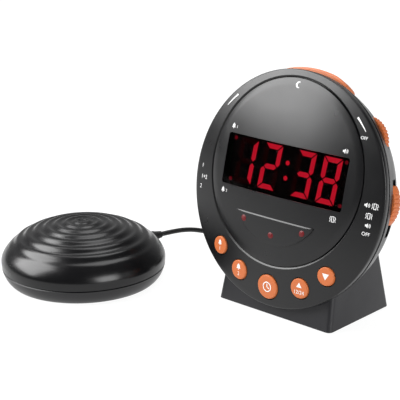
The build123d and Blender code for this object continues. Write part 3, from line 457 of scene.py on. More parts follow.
def cloud_tone(tree, grain, colour, variation, shader, entry):
    """Let the grain's slow cloud mix a darker and a lighter tone of a colour."""
    tone = tree.nodes.new("ShaderNodeMix")
    tone.data_type = "RGBA"
    for label, factor in (("A", 1 - variation), ("B", 1 + variation)):
        tone.inputs[label].default_value = (*(min(part * factor, 1.0) for part in colour), 1.0)
    wire(tree, (grain, "Tone", tone, "Factor"), (tone, "Result", shader, entry))


def smudge_gloss(tree, shader, glossy, dull, scale=SMUDGE_SCALE):
    """Let the smudge group vary the roughness between two values."""
    smudge = add_group(tree, smudge_group, {"Glossy": glossy, "Dull": dull, "Scale": scale})
    wire(tree, (smudge, "Roughness", shader, "Roughness"))


def plastic(name, colour, glossy, dull, grain_scale=GRAIN_SCALE, grain_depth=0.004,
            variation=TONE_VARIATION, specular=0.5):
    """A moulded plastic or rubber: clouded colour, handled gloss and fine grain."""
    tree, shader = new_material(name)
    grain = add_group(tree, grain_group, {"Scale": grain_scale})
    cloud_tone(tree, grain, colour, variation, shader, "Base Color")
    smudge_gloss(tree, shader, glossy, dull)
    bump = add_node(tree, "Bump", {"Strength": GRAIN_STRENGTH, "Distance": grain_depth * MM})
    wire(tree, (grain, "Height", bump, "Height"), (bump, "Normal", shader, "Normal"))
    set_inputs(shader, {"Specular IOR Level": specular})


plastic("face_plastic", (0.003, 0.003, 0.0035), 0.27, 0.33, specular=0.41)
plastic("shell_plastic", (0.004, 0.004, 0.005), 0.30, 0.40, specular=0.45)
plastic("stand_plastic", (0.006, 0.006, 0.008), 0.34, 0.44, specular=0.45)
plastic("orange_plastic", (0.48, 0.125, 0.036), 0.36, 0.46, variation=0.05, specular=0.35)
plastic("puck_plastic", (0.003, 0.003, 0.0035), 0.22, 0.28, specular=0.37)
plastic("puck_base_plastic", (0.004, 0.004, 0.005), 0.30, 0.40, specular=0.45)
plastic("cord_rubber", (0.010, 0.010, 0.010), 0.50, 0.62)
plastic("plug_rubber", (0.012, 0.012, 0.012), 0.45, 0.55)
plastic("tie_plastic", (0.015, 0.015, 0.015), 0.40, 0.50)
plastic("foot_rubber", (0.010, 0.010, 0.010), 0.70, 0.80)
plastic("component_black", (0.015, 0.015, 0.015), 0.35, 0.45)
plastic("board_green", (0.02, 0.13, 0.05), 0.35, 0.45)
plastic("cone_paper", (0.05, 0.045, 0.04), 0.80, 0.90, grain_scale=1500.0)
plastic("cell_wrap", (0.10, 0.16, 0.22), 0.30, 0.40)
print("plastics made")

# %% [markdown]
# Metal is a Principled shader with Metallic at one. The same smudge group varies its roughness,
# which is what tells polished steel from cast iron.

# %% Metals
POLISH_SCALE = 400.0


def metal(name, colour, glossy, dull):
    """A plain metal whose polish varies a little."""
    tree, shader = new_material(name)
    smudge_gloss(tree, shader, glossy, dull, POLISH_SCALE)
    set_inputs(shader, {"Base Color": (*colour, 1.0), "Metallic": 1.0})


metal("steel", (0.55, 0.55, 0.56), 0.25, 0.40)
metal("contact_brass", (0.75, 0.55, 0.25), 0.25, 0.40)
metal("magnet_iron", (0.18, 0.18, 0.19), 0.45, 0.60)
print("metals made")

# %% [markdown]
# The display glows from behind a smoked window. Lit bars are red light. Unlit bars are a dark red
# with a faint painted glow in place of the room light they would send back, so they only just show,
# like the small dark red dots, and the window is smoked glass that lets about a sixth of it through.
# Real glass, not a see-through film, keeps the window black and calm, because light from outside is
# dimmed on its way in and again on its way out. Its index of refraction is set low, so that it
# mirrors little of the white table, like a window with an anti-glare coat.

# %% Display finishes
GLOW_CLOUD = 160.0


def glow(name, colour, light, strength):
    """A surface that gives off light, with a slow cloud in its brightness."""
    tree, shader = new_material(name)
    grain = add_group(tree, grain_group, {"Cloud Scale": GLOW_CLOUD})
    cloud_tone(tree, grain, light, TONE_VARIATION, shader, "Emission Color")
    set_inputs(shader, {"Base Color": (*colour, 1.0), "Roughness": 0.35,
                        "Emission Strength": strength})


glow("lit_red", (0.05, 0.001, 0.003), (0.70, 0.012, 0.038), 3.8)
# The unlit bars get a faint painted glow, which stands in for the room light they would send back.
glow("dim_red", (0.004, 0.001, 0.001), (0.30, 0.004, 0.010), 0.1)
glow("dot_red", (0.02, 0.001, 0.002), (0.42, 0.010, 0.030), 1.6)
plastic("lamp_red", (0.11, 0.004, 0.006), 0.35, 0.45, grain_depth=0.001, specular=0.3)
plastic("display_black", (0.004, 0.004, 0.004), 0.45, 0.55)
plastic("print_white", (0.72, 0.72, 0.72), 0.45, 0.60, grain_depth=0.001, variation=0.04)

tree, shader = new_material("smoked_lens")
smudge_gloss(tree, shader, 0.04, 0.07)
set_inputs(shader, {"Base Color": (0.16, 0.12, 0.12, 1.0), "Transmission Weight": 1.0, "IOR": 1.1,
                    "Specular IOR Level": 0.08})
print("display finishes made")

# %% [markdown]
# The head leans back, so its pieces are modelled flat on the floor, where X runs across the face, Y
# up the face and Z out of it, and are then put in place by one matrix.
# The face is a shallow dome. Pieces on it are first made flat and then draped: every vertex is
# lifted by the height of the dome under it. That keeps rims, keys and prints true to the curved face.

# %% Head frame and dome
FACE_RADIUS = 70.0
DOME_RISE = 7.85
HEAD_TILT = math.radians(12.5)
RIM_HEIGHT = 7.86
STAND_SETBACK = 5.6
STAND_DEPTH = 58.4

DOME_RADIUS = (FACE_RADIUS ** 2 + DOME_RISE ** 2) / (2 * DOME_RISE)
face_z = RIM_HEIGHT + FACE_RADIUS * math.cos(HEAD_TILT)
face_y = (math.sin(HEAD_TILT) * face_z - STAND_SETBACK) / math.cos(HEAD_TILT) - STAND_DEPTH / 2
HEAD = (Matrix.Translation(Vector((0.0, face_y, face_z)) * MM)
        @ Matrix.Rotation(math.pi / 2 - HEAD_TILT, 4, "X"))


def finish_on_head(piece, *words, **options):
    """Lean a piece back with the head, then finish it."""
    return finish_piece(place(piece, HEAD), *words, **options)


def dome_height(x, y):
    """Height of the face's dome above its rim, in millimetres."""
    return math.sqrt(DOME_RADIUS ** 2 - x * x - y * y) - DOME_RADIUS + DOME_RISE


def drape(piece, lowest=-math.inf):
    """Lift the vertices of a flat piece onto the dome, from a lowest level upwards."""
    for vertex in piece.data.vertices:
        if vertex.co.z >= lowest * MM:
            vertex.co.z += dome_height(vertex.co.x / MM, vertex.co.y / MM) * MM
    return piece


def loft(name, loops, fill=False, closed=False):
    """A circle extruded from loop to loop. A loop is (middle y, radius, height)."""
    deselect()
    middle, radius, height = loops[0]
    bpy.ops.mesh.primitive_circle_add(vertices=ROUND_STEPS, radius=radius * MM,
                                      location=Vector((0.0, middle, height)) * MM)
    piece = adopt(name)
    bpy.ops.object.transform_apply()
    edit_all(piece)
    if fill:
        bpy.ops.mesh.edge_face_add()
        bpy.ops.mesh.select_mode(type="EDGE")
        bpy.ops.mesh.region_to_loop()
    for next_middle, next_radius, next_height in loops[1:] + (loops[:1] if closed else []):
        shift = Vector((0.0, next_middle - middle, next_height - height)) * MM
        bpy.ops.mesh.extrude_edges_move(TRANSFORM_OT_translate={"value": shift})
        grow = next_radius / radius
        bpy.ops.transform.resize(value=(grow, grow, 1.0),
                                 center_override=Vector((0.0, next_middle, next_height)) * MM)
        middle, radius, height = next_middle, next_radius, next_height
    if fill:
        bpy.ops.mesh.edge_face_add()
    bpy.ops.mesh.select_mode(type="VERT")
    return clean(piece)


print("dome radius in mm:", round(DOME_RADIUS, 1), "centre:", round(face_y, 2), round(face_z, 2))

# %% [markdown]
# The front shell is a domed ring. The round pocket for the inner plate sits high in it, so the ring
# is narrow at the top and wide below, where the keys are. Cutting the pocket with a Boolean would
# leave ragged faces around it, so the ring is lofted: circles that slide and grow from the pocket's
# edge to the rim. The pocket's edge is a shallow chamfer, which mirrors the light from the front as
# a thin bright line. Five holes for the keys are then cut.

# %% Front shell
PLATE_Y = 10.06
PLATE_RADIUS = 54.8
POCKET_RADIUS = 55.25
POCKET_DEPTH = 1.85
POCKET_CHAMFER = (0.9, 0.58)
LEDGE_RADIUS = 51.75
LEDGE_THICKNESS = 1.6
SHELL_WALL = 2.2
RIM_INSET = 0.9
RIM_ROUND = ((0.48, 0.1), (0.28, 0.32), (0.2, 0.7), (0.24, 1.6))
BAND_DEPTH = 4.2
BAND_RADIUS = 69.4
BAND_INNER = 67.3
RING_LOOPS = 9
KEY_NAMES = ("alarm_one_button", "alarm_two_button", "time_button", "up_button", "down_button")
KEY_RING = 58.3
KEY_TURNS = (-43.4, -23.3, 0.0, 23.3, 43.4)
KEY_SIZES = (10.8, 11.8, 14.4, 11.8, 10.8)
KEY_GAP = 0.6
KEY_HOLE = (-12.0, 8.0)
KEY_PLACES = [(KEY_RING * math.sin(math.radians(angle)), -KEY_RING * math.cos(math.radians(angle)))
              for angle in KEY_TURNS]


def ring_between(inner, outer, level):
    """Loops that slide from one circle to another at one level."""
    shares = [i / RING_LOOPS for i in range(RING_LOOPS + 1)]
    return [(*(a + (b - a) * share for a, b in zip(inner, outer)), level) for share in shares]


ledge_low = -POCKET_DEPTH - LEDGE_THICKNESS
loops = [(PLATE_Y, LEDGE_RADIUS, ledge_low), (PLATE_Y, LEDGE_RADIUS, -POCKET_DEPTH),
         (PLATE_Y, POCKET_RADIUS, -POCKET_DEPTH), (PLATE_Y, POCKET_RADIUS, -POCKET_CHAMFER[1])]
loops += ring_between((PLATE_Y, POCKET_RADIUS + POCKET_CHAMFER[0]),
                      (0.0, FACE_RADIUS - RIM_INSET), 0.0)
loops += [(0.0, FACE_RADIUS - inset, -drop) for inset, drop in RIM_ROUND]
loops += [(0.0, BAND_RADIUS + 0.1, -BAND_DEPTH + 0.35), (0.0, BAND_RADIUS - 0.2, -BAND_DEPTH),
          (0.0, BAND_INNER, -BAND_DEPTH)]
loops += ring_between((0.0, BAND_INNER), (PLATE_Y, POCKET_RADIUS + 1.0), -SHELL_WALL - 0.4)
loops.append((PLATE_Y, POCKET_RADIUS + 0.6, ledge_low))
front_shell = loft("front_shell", loops, closed=True)
carve(front_shell, join([peg("key_hole", size / 2 + KEY_GAP, *KEY_HOLE, *spot)
                         for spot, size in zip(KEY_PLACES, KEY_SIZES)]))
drape(front_shell, lowest=-BAND_DEPTH + 0.1)
finish_on_head(front_shell, "clock", "face_plastic", "front_shell")

# %% [markdown]
# The inner plate is a domed disc that drops into the pocket. Its window is a rounded rectangle, cut
# while the plate is still flat, so that the cut keeps the same outline all the way through.

# %% Face plate
WINDOW = (89.2, 30.7)
WINDOW_Y = 10.86
WINDOW_CORNER = 1.5
PLATE_THICKNESS = 1.8
PLATE_LOOPS = 12
PLATE_ROUND = 0.4
PLATE_BREAK = 0.12


def rounded_outline(width, height, corner, x=0.0, y=0.0, steps=6):
    """A rectangle of (x, y) points with round corners."""
    across, up = width / 2 - corner, height / 2 - corner
    outline = []
    for quarter, (right, top) in enumerate(((1, 1), (-1, 1), (-1, -1), (1, -1))):
        centre = (x + right * across, y + top * up)
        outline += arc(centre, corner, 90 * quarter, 90 * quarter + 90, steps)
    return outline


loops = [(PLATE_Y, PLATE_RADIUS * (i + 0.5) / PLATE_LOOPS, -PLATE_THICKNESS)
         for i in range(PLATE_LOOPS)]
loops += [(PLATE_Y, PLATE_RADIUS, -PLATE_THICKNESS), (PLATE_Y, PLATE_RADIUS, -PLATE_ROUND),
          (PLATE_Y, PLATE_RADIUS - PLATE_BREAK, -PLATE_BREAK)]
loops += [(PLATE_Y, (PLATE_RADIUS - PLATE_ROUND) * (PLATE_LOOPS - i) / PLATE_LOOPS, 0.0)
          for i in range(PLATE_LOOPS)]
face_plate = loft("face_plate", loops, fill=True)
window_outline = rounded_outline(*WINDOW, WINDOW_CORNER, y=WINDOW_Y)
carve(face_plate, slab("window_cut", window_outline, -6.0, 6.0))
finish_on_head(drape(face_plate), "clock", "face_plastic", "face_plate")

# %% [markdown]
# The display window is a thin smoked slab that follows the dome. A grid is given a thickness by
# extruding it, trimmed to the window's rounded outline, and draped on the dome.

# %% Display lens
LENS_THICKNESS = 2.45
LENS_SINK = 0.25
LENS_MARGIN = 4.0
LENS_GRID = (36, 14)
SLIP = 0.1

deselect()
bpy.ops.mesh.primitive_grid_add(x_subdivisions=LENS_GRID[0], y_subdivisions=LENS_GRID[1], size=1.0)
display_lens = adopt("display_lens")
place(display_lens, Matrix.Translation(Vector((0.0, WINDOW_Y, -LENS_SINK - LENS_THICKNESS)) * MM)
      @ Matrix.Diagonal((*((side + LENS_MARGIN) * MM for side in WINDOW), 1.0, 1.0)))
edit_all(display_lens)
raise_up(LENS_THICKNESS)
clean(display_lens)
lens_outline = rounded_outline(*(side - 2 * SLIP for side in WINDOW), WINDOW_CORNER - SLIP,
                               y=WINDOW_Y)
carve(display_lens, slab("lens_cut", lens_outline, -8.0, 8.0), "INTERSECT")
finish_on_head(drape(display_lens), "clock", "smoked_lens", "display_lens")

# %% [markdown]
# Under the window a crescent panel stands slightly proud and holds three alarm lamps. A plain grid
# is squeezed between the straight top edge and the round lower edge and raised. Its upper edge gets
# a small chamfer and a rounding, so that it shows a fine highlight.

# %% Crescent panel
CRESCENT_HALF = 29.3
CRESCENT_TOP = -17.3
CRESCENT_DROP = 15.7
CRESCENT_PROUD = 0.7
CRESCENT_SEAT = 0.6
CRESCENT_COLUMNS = 40
CRESCENT_ROWS = 10
CRESCENT_END = 1.0
CRESCENT_CHAMFER = (0.7, 0.4)
CHAMFER_STOP = 3.0
CRESCENT_ROUND = 0.25

crescent_radius = (CRESCENT_HALF ** 2 + CRESCENT_DROP ** 2) / (2 * CRESCENT_DROP)
crescent_centre = CRESCENT_TOP - CRESCENT_DROP + crescent_radius
deselect()
bpy.ops.mesh.primitive_grid_add(x_subdivisions=CRESCENT_COLUMNS, y_subdivisions=CRESCENT_ROWS,
                                size=2.0)
flash_panel = adopt("flash_panel")
for vertex in flash_panel.data.vertices:
    x = vertex.co.x * (CRESCENT_HALF - CRESCENT_END / 2)
    low = crescent_centre - math.sqrt(crescent_radius ** 2 - x * x)
    share = (vertex.co.y + 1) / 2
    y = low + (CRESCENT_TOP - low) * share
    if share > 1 - 1.5 / CRESCENT_ROWS:
        y = max(y, CRESCENT_TOP - CRESCENT_CHAMFER[0])
    vertex.co = Vector((x, y, -CRESCENT_SEAT)) * MM
edit_all(flash_panel)
raise_up(CRESCENT_SEAT + CRESCENT_PROUD)
clean(flash_panel)
for vertex in flash_panel.data.vertices:
    at_top = vertex.co.z > 0 and vertex.co.y > (CRESCENT_TOP - 0.01) * MM
    if at_top and abs(vertex.co.x) < (CRESCENT_HALF - CHAMFER_STOP) * MM:
        vertex.co.z -= CRESCENT_CHAMFER[1] * MM
soften(flash_panel, CRESCENT_ROUND, 3, 62.0)
finish_on_head(drape(flash_panel), "clock", "face_plastic", "flash_panel", angle=25.0)

# %% [markdown]
# The alarm lamps are small round domes of dark red plastic. One is turned, and the other two are
# copies with meshes of their own.

# %% Alarm lamps
LAMP_RADIUS = 1.95
LAMP_RISE = 0.45
LAMP_FOOT = -0.5
LAMP_PLACES = ((21.7, -21.4), (-21.7, -21.4), (0.0, -27.2))


def copy_of(piece, name):
    """A copy with its own mesh."""
    twin = piece.copy()
    twin.data = piece.data.copy()
    twin.name = name
    bpy.context.scene.collection.objects.link(twin)
    return twin


def repeat(piece, spots):
    """Put a piece and its copies at several spots, as one mesh."""
    pieces = [piece] + [copy_of(piece, piece.name) for _ in spots[1:]]
    for twin, spot in zip(pieces, spots):
        move(twin, *spot)
    return join(pieces)


lamp_curve = (LAMP_RADIUS ** 2 + LAMP_RISE ** 2) / (2 * LAMP_RISE)
lamp_half = math.degrees(math.asin(LAMP_RADIUS / lamp_curve))
outline = arc((0.0, CRESCENT_PROUD + LAMP_RISE - lamp_curve), lamp_curve, 90, 90 - lamp_half, 8)
outline += [(LAMP_RADIUS, LAMP_FOOT), (0.0, LAMP_FOOT)]
flash_leds = repeat(turn("flash_leds", outline, 32),
                    [(x, y, dome_height(x, y)) for x, y in LAMP_PLACES])
finish_on_head(flash_leds, "clock", "lamp_red", "flash_leds", angle=50.0)

# %% [markdown]
# Five round keys stand just proud of the ring and follow its dome. Each is turned from one outline
# with a rounded upper edge, moved to its hole and draped.

# %% Front keys
KEY_PROUD = 1.0
KEY_ROUND = 0.6
KEY_FOOT = -7.0
KEY_BODIES = ("alarm_one_key", "alarm_two_key", "time_key", "up_key", "down_key")

for name, body, spot, size in zip(KEY_NAMES, KEY_BODIES, KEY_PLACES, KEY_SIZES):
    top = size / 2 - KEY_ROUND
    outline = [(top * i / 4, KEY_PROUD) for i in range(4)]
    outline += arc((top, KEY_PROUD - KEY_ROUND), KEY_ROUND, 90, 0, 5)
    outline += [(size / 2, KEY_FOOT), (0.0, KEY_FOOT)]
    key = drape(move(turn(name, outline, 64), *spot))
    finish_on_head(key, body, "orange_plastic", name, angle=50.0)

# %% [markdown]
# The back housing is a bowl: a short leaning flank, then a large round curve to a flat back. The bowl
# is spun as a solid, hollowed by a second spun solid that leaves the pockets of the side knobs
# and the screw bosses standing, and then the openings are cut.

# %% Rear shell bowl
REAR_FRONT = -5.2
FLANK_END = 12.0
FLANK_LEAN = math.radians(19.5)
HEAD_DEPTH = 46.0
BACK_FLOOR = 3.3
HOLLOW_FRONT = 2.0

flank_radius = BAND_RADIUS - (FLANK_END + REAR_FRONT) * math.tan(FLANK_LEAN)
bowl_radius = (HEAD_DEPTH - FLANK_END) / (1 - math.sin(FLANK_LEAN))
bowl_middle = flank_radius - bowl_radius * math.cos(FLANK_LEAN)
bowl_level = bowl_radius * math.sin(FLANK_LEAN) - FLANK_END


def bowl_outline(grow, front, steps=24):
    """The bowl's outline from its front edge to the middle of its back, grown by a margin."""
    side = grow / math.cos(FLANK_LEAN)
    outline = [(BAND_RADIUS + side + (front - REAR_FRONT) * math.tan(FLANK_LEAN), front)]
    outline += arc((bowl_middle, bowl_level), bowl_radius + grow, -math.degrees(FLANK_LEAN), -90,
                   steps)
    return outline + [(0.0, -HEAD_DEPTH - grow)]


rear_shell = turn("rear_shell", [(0.0, REAR_FRONT), (BAND_RADIUS - 0.35, REAR_FRONT),
                                 (BAND_RADIUS - 0.06, REAR_FRONT - 0.35)]
                  + bowl_outline(0.0, REAR_FRONT - 0.9))
hollow_outline = [(radius, max(height, BACK_FLOOR - HEAD_DEPTH))
                  for radius, height in bowl_outline(-SHELL_WALL, HOLLOW_FRONT)]
hollow = turn("hollow", [(0.0, HOLLOW_FRONT)] + hollow_outline, 128)
print("bowl radius in mm:", round(bowl_radius, 1))

# %% Rear shell pockets, bosses and openings
POCKET_CENTRE = 1.6
POCKET_LENGTH = 32.6
POCKET_WIDTH = 7.0
POCKET_LEVEL = -13.5
POCKET_FLOOR = 62.0
POCKET_WALL = 2.0
BOSS_RING = 60.0
BOSS_TURNS = (58.5, 121.5, -25.0, -155.0)
BOSS_RADIUS = 3.6
BOSS_TOP = -8.0
SCREW_SEAT = -18.0
COUNTERBORE = 2.7
SNOOZE_HALF = 26.0
SNOOZE_FRONT = -8.5
SNOOZE_REAR = -18.5
SNOOZE_GAP = 0.4
WHEEL_RADIUS = 15.0
WHEEL_PLACE = (41.07, 35.06)
WHEEL_FRONT = -11.2
WHEEL_THICKNESS = 4.0
WHEEL_GAP = 0.35
GRILLE_Y = 8.0
GRILLE_RINGS = ((0.0, 1), (4.6, 6), (9.2, 12), (13.4, 18))
GRILLE_HOLE = 1.1
SOCKET_SIDE = 12.5
SOCKET_Y = -18.5
POWER_BARREL = 3.9
SHAKER_BARREL = 3.4
SIDES = (1, -1)
BEYOND = 80.0
BEHIND = -60.0


def pocket_block(name, side, floor, margin):
    """A block that fills the knob's pocket at one side from a floor outwards, grown by a margin."""
    ends = sorted((side * floor, side * BEYOND))
    along, across = POCKET_LENGTH / 2 + margin, POCKET_WIDTH / 2 + margin
    return brick(name, (ends[0], POCKET_CENTRE - along, POCKET_LEVEL - across),
                 (ends[1], POCKET_CENTRE + along, POCKET_LEVEL + across))


boss_places = [polar(BOSS_RING, angle) for angle in BOSS_TURNS]
for side in SIDES:
    carve(hollow, pocket_block("cheek", side, POCKET_FLOOR - POCKET_WALL, POCKET_WALL))
for spot in boss_places:
    carve(hollow, peg("boss", BOSS_RADIUS, BEHIND, BOSS_TOP, *spot))
carve(rear_shell, hollow)

openings = [brick("snooze_slot", (-SNOOZE_HALF - SNOOZE_GAP, 55.0, SNOOZE_REAR - SNOOZE_GAP),
                  (SNOOZE_HALF + SNOOZE_GAP, BEYOND, SNOOZE_FRONT + SNOOZE_GAP))]
for side in SIDES:
    openings.append(pocket_block("knob_pocket", side, POCKET_FLOOR, 0.0))
    openings.append(peg("wheel_slot", WHEEL_RADIUS + 0.6, WHEEL_FRONT - WHEEL_THICKNESS - WHEEL_GAP,
                        WHEEL_FRONT + WHEEL_GAP, side * WHEEL_PLACE[0], WHEEL_PLACE[1], 64))
openings += [peg("counterbore", COUNTERBORE, BEHIND, SCREW_SEAT, *spot, 32) for spot in boss_places]
openings += [peg("socket_hole", barrel + SLIP, BEHIND, -30.0, side * SOCKET_SIDE, SOCKET_Y, 32)
             for side, barrel in zip(SIDES, (POWER_BARREL, SHAKER_BARREL))]
for ring, count in GRILLE_RINGS:
    for i in range(count):
        x, y = polar(ring, 360 * i / count)
        openings.append(peg("grille_hole", GRILLE_HOLE, BEHIND, -40.0, x, GRILLE_Y + y, 16))
carve(rear_shell, join(openings))
finish_on_head(rear_shell, "clock", "shell_plastic", "rear_shell")

# %% [markdown]
# The snooze bar is a curved orange block that stands proud of the rim at the top and follows the
# lean of the bowl. Its section is spun through a short angle about the axis of the head. The spun
# columns are then set upright, so that both ends are square to the bar, its top falls away towards
# the ends, and the edges are rounded.

# %% Snooze bar
SNOOZE_PROUD = 3.1
SNOOZE_FALL = 2.0
SNOOZE_LEVEL = 0.6
SNOOZE_INNER = 60.0
SNOOZE_HEIGHTS = (SNOOZE_REAR, -15.5, -12.0, SNOOZE_FRONT)
SNOOZE_ROUND = 1.3
SNOOZE_SPAN = math.radians(44.0)
SNOOZE_STEPS = 24


def bowl_reach(height, grow):
    """Radius of the bowl, grown by a margin, at a height."""
    reach = bowl_radius + grow
    if height > bowl_level - reach * math.sin(FLANK_LEAN):
        side = grow / math.cos(FLANK_LEAN)
        return BAND_RADIUS + side + (height - REAR_FRONT) * math.tan(FLANK_LEAN)
    return bowl_middle + math.sqrt(reach ** 2 - (height - bowl_level) ** 2)


outline = [(SNOOZE_INNER, SNOOZE_REAR)]
outline += [(bowl_reach(height, SNOOZE_PROUD), height) for height in SNOOZE_HEIGHTS]
outline.append((SNOOZE_INNER, SNOOZE_FRONT))
snooze_bar = turn("snooze_bar", outline, SNOOZE_STEPS, SNOOZE_SPAN, closed=True, fill=True)
place(snooze_bar, Matrix.Rotation(math.pi / 2 + SNOOZE_SPAN / 2, 4, "Z"))
for vertex in snooze_bar.data.vertices:
    radius = math.hypot(vertex.co.x, vertex.co.y)
    share = math.atan2(vertex.co.x, vertex.co.y) / (SNOOZE_SPAN / 2)
    if radius > (SNOOZE_INNER + 1.0) * MM:
        radius -= SNOOZE_FALL * max((abs(share) - SNOOZE_LEVEL) / (1 - SNOOZE_LEVEL), 0.0) ** 2 * MM
    vertex.co.x = SNOOZE_HALF * share * MM
    vertex.co.y = math.sqrt(radius ** 2 - vertex.co.x ** 2)
soften(snooze_bar, SNOOZE_ROUND, 4)
finish_on_head(snooze_bar, "snooze", "orange_plastic", "snooze_bar", angle=40.0)

# %% [markdown]
# Two thumbwheels, one at each side of the top, show only a toothed sliver in a slot of the rim. A
# wheel is an outline that steps in and out forty-four times, raised to its thickness with rounded
# rims. The second wheel is a copy of the first.

# %% Thumbwheels
WHEEL_TEETH = 44
TOOTH_DEPTH = 0.5
TOOTH_STEPS = ((0.0, 0.0), (0.5, 0.0), (0.62, TOOTH_DEPTH), (0.88, TOOTH_DEPTH))

outline = [polar(WHEEL_RADIUS - depth, 360 * (i + share) / WHEEL_TEETH)
           for i in range(WHEEL_TEETH) for share, depth in TOOTH_STEPS]
volume_wheel = slab("volume_wheel", outline, WHEEL_FRONT - WHEEL_THICKNESS, WHEEL_FRONT)
soften(volume_wheel, 0.25, 2, 60.0)
tone_wheel = copy_of(volume_wheel, "tone_wheel")
for wheel, side, body in ((volume_wheel, 1, "volume"), (tone_wheel, -1, "tone")):
    move(wheel, side * WHEEL_PLACE[0], WHEEL_PLACE[1])
    finish_on_head(wheel, body, "orange_plastic", body + "_wheel")

# %% [markdown]
# The slide knobs sit in pockets on both flanks of the rim. Each is an arched block with seven grip
# grooves across its top. The arch and its grooves are one outline, which is raised to the knob's
# width and rounded.

# %% Slide knobs
KNOB_LENGTH = 22.4
KNOB_WIDTH = 6.2
KNOB_TOP = 68.8
KNOB_END = 64.6
KNOB_BASE = 62.3
KNOB_REST = 3.15
KNOB_GROOVES = 7
GROOVE_PITCH = 2.4
GROOVE_RADIUS = 0.45

knob_half = KNOB_LENGTH / 2
knob_rise = KNOB_TOP - KNOB_END
knob_curve = (knob_half ** 2 + knob_rise ** 2) / (2 * knob_rise)
groove_middles = [GROOVE_PITCH * (i - (KNOB_GROOVES - 1) / 2) for i in range(KNOB_GROOVES)]


def arch_point(along, depth=0.0):
    """A point of the knob's arch at a place along it, sunk by a depth."""
    return KNOB_TOP - knob_curve + math.sqrt(knob_curve ** 2 - along * along) - depth, along


plain_start = groove_middles[-1] + GROOVE_RADIUS
plain = [plain_start + (knob_half - plain_start) * share for share in (0.25, 0.5, 0.75)]
outline = [(KNOB_BASE, -knob_half), (KNOB_END, -knob_half)]
outline += [arch_point(-along) for along in reversed(plain)]
for middle in groove_middles:
    groove = arc((middle, 0.0), GROOVE_RADIUS, 180, 360, 4)
    outline += [arch_point(along, -down) for along, down in groove]
outline += [arch_point(along) for along in plain]
outline += [(KNOB_END, knob_half), (KNOB_BASE, knob_half)]
mode_slider = slab("mode_slider", outline, POCKET_LEVEL - KNOB_WIDTH / 2,
                   POCKET_LEVEL + KNOB_WIDTH / 2)
soften(mode_slider, 0.3, 2, 60.0)
move(mode_slider, 0.0, KNOB_REST)
alarm_slider = copy_of(mode_slider, "alarm_slider")
place(alarm_slider, Matrix.Diagonal((-1.0, 1.0, 1.0, 1.0)))
clean(alarm_slider)
for knob, body in ((mode_slider, "mode"), (alarm_slider, "alarm")):
    finish_on_head(knob, body, "orange_plastic", body + "_slider", angle=40.0)

# %% [markdown]
# The stand is a wedge with leaning walls and rounded corners, and the bowl of the head sinks into its
# top. A box has its top pulled in, its upright edges are bevelled, and the bowl is cut out of it
# with a slightly larger copy of the bowl. It is hollow below, for the backup cells.

# %% Stand
STAND_WIDTH = 85.8
STAND_HEIGHT = 40.0
SIDE_LEAN = math.radians(4.2)
REAR_LEAN = math.radians(11.45)
STAND_CORNER = 3.0
LEAST_CORNER = 0.6
STAND_WALL = 2.0
SADDLE_GAP = 0.15
SADDLE_FRONT = 30.0
FOOT_DROP = 0.8
BELOW = -4.0
ABOVE = 60.0
DOOR_GAP = 0.3
DOOR_REACH = (10.0, 40.0)


def wedge(name, inset, low, high):
    """The stand's leaning block, made smaller by an inset, between two heights."""
    piece = brick(name, (-1, -1, low), (1, 1, high))
    for vertex in piece.data.vertices:
        rise = vertex.co.z / MM
        half = STAND_WIDTH / 2 - inset - rise * math.tan(SIDE_LEAN)
        front = -STAND_DEPTH / 2 + inset + rise * math.tan(HEAD_TILT)
        back = STAND_DEPTH / 2 - inset - rise * math.tan(REAR_LEAN)
        vertex.co.x = math.copysign(half, vertex.co.x) * MM
        vertex.co.y = (back if vertex.co.y > 0 else front) * MM
    pick(piece)
    bpy.ops.object.mode_set(mode="EDIT")
    bpy.ops.mesh.select_mode(type="EDGE")
    bpy.ops.mesh.select_all(action="DESELECT")
    mesh = bmesh.from_edit_mesh(piece.data)
    for edge in mesh.edges:
        first, second = edge.verts
        edge.select_set(abs(first.co.z - second.co.z) > MM)
    bmesh.update_edit_mesh(piece.data)
    corner = max(STAND_CORNER - inset, LEAST_CORNER)
    bpy.ops.mesh.bevel(offset=corner * MM, segments=6, affect="EDGES")
    bpy.ops.mesh.select_mode(type="VERT")
    return clean(piece)


def bowl_tool(name, grow):
    """The bowl of the head as a cutting tool, open far to the front."""
    edge = BAND_RADIUS + grow
    tool = turn(name, [(0.0, SADDLE_FRONT), (edge, SADDLE_FRONT), (edge, REAR_FRONT)]
                + bowl_outline(grow, REAR_FRONT - 0.5, 32))
    return place(tool, HEAD)


stand_shell = wedge("stand_shell", 0.0, FOOT_DROP, STAND_HEIGHT)
cavity = wedge("cavity", STAND_WALL, BELOW, ABOVE)
carve(cavity, bowl_tool("saddle", SADDLE_GAP + STAND_WALL))
carve(stand_shell, bowl_tool("saddle", SADDLE_GAP))
carve(stand_shell, cavity)
door_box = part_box("battery_door")
carve(stand_shell, brick("door_slot", (door_box[0].x / MM - DOOR_GAP, DOOR_REACH[0], BELOW),
                         (door_box[1].x / MM + DOOR_GAP, DOOR_REACH[1],
                          door_box[1].z / MM + DOOR_GAP)))
finish_piece(stand_shell, "clock", "shell_plastic", "stand_shell", finish="stand_plastic",
             angle=25.0)

# %% [markdown]
# The puck's upper shell is a low dome with rings like ripples in water. It is turned from one
# outline: a smooth curve from the middle to the widest place, with a small wave added along the
# radius that fades out before the shoulder. The outline returns inside, so the shell has a real wall.

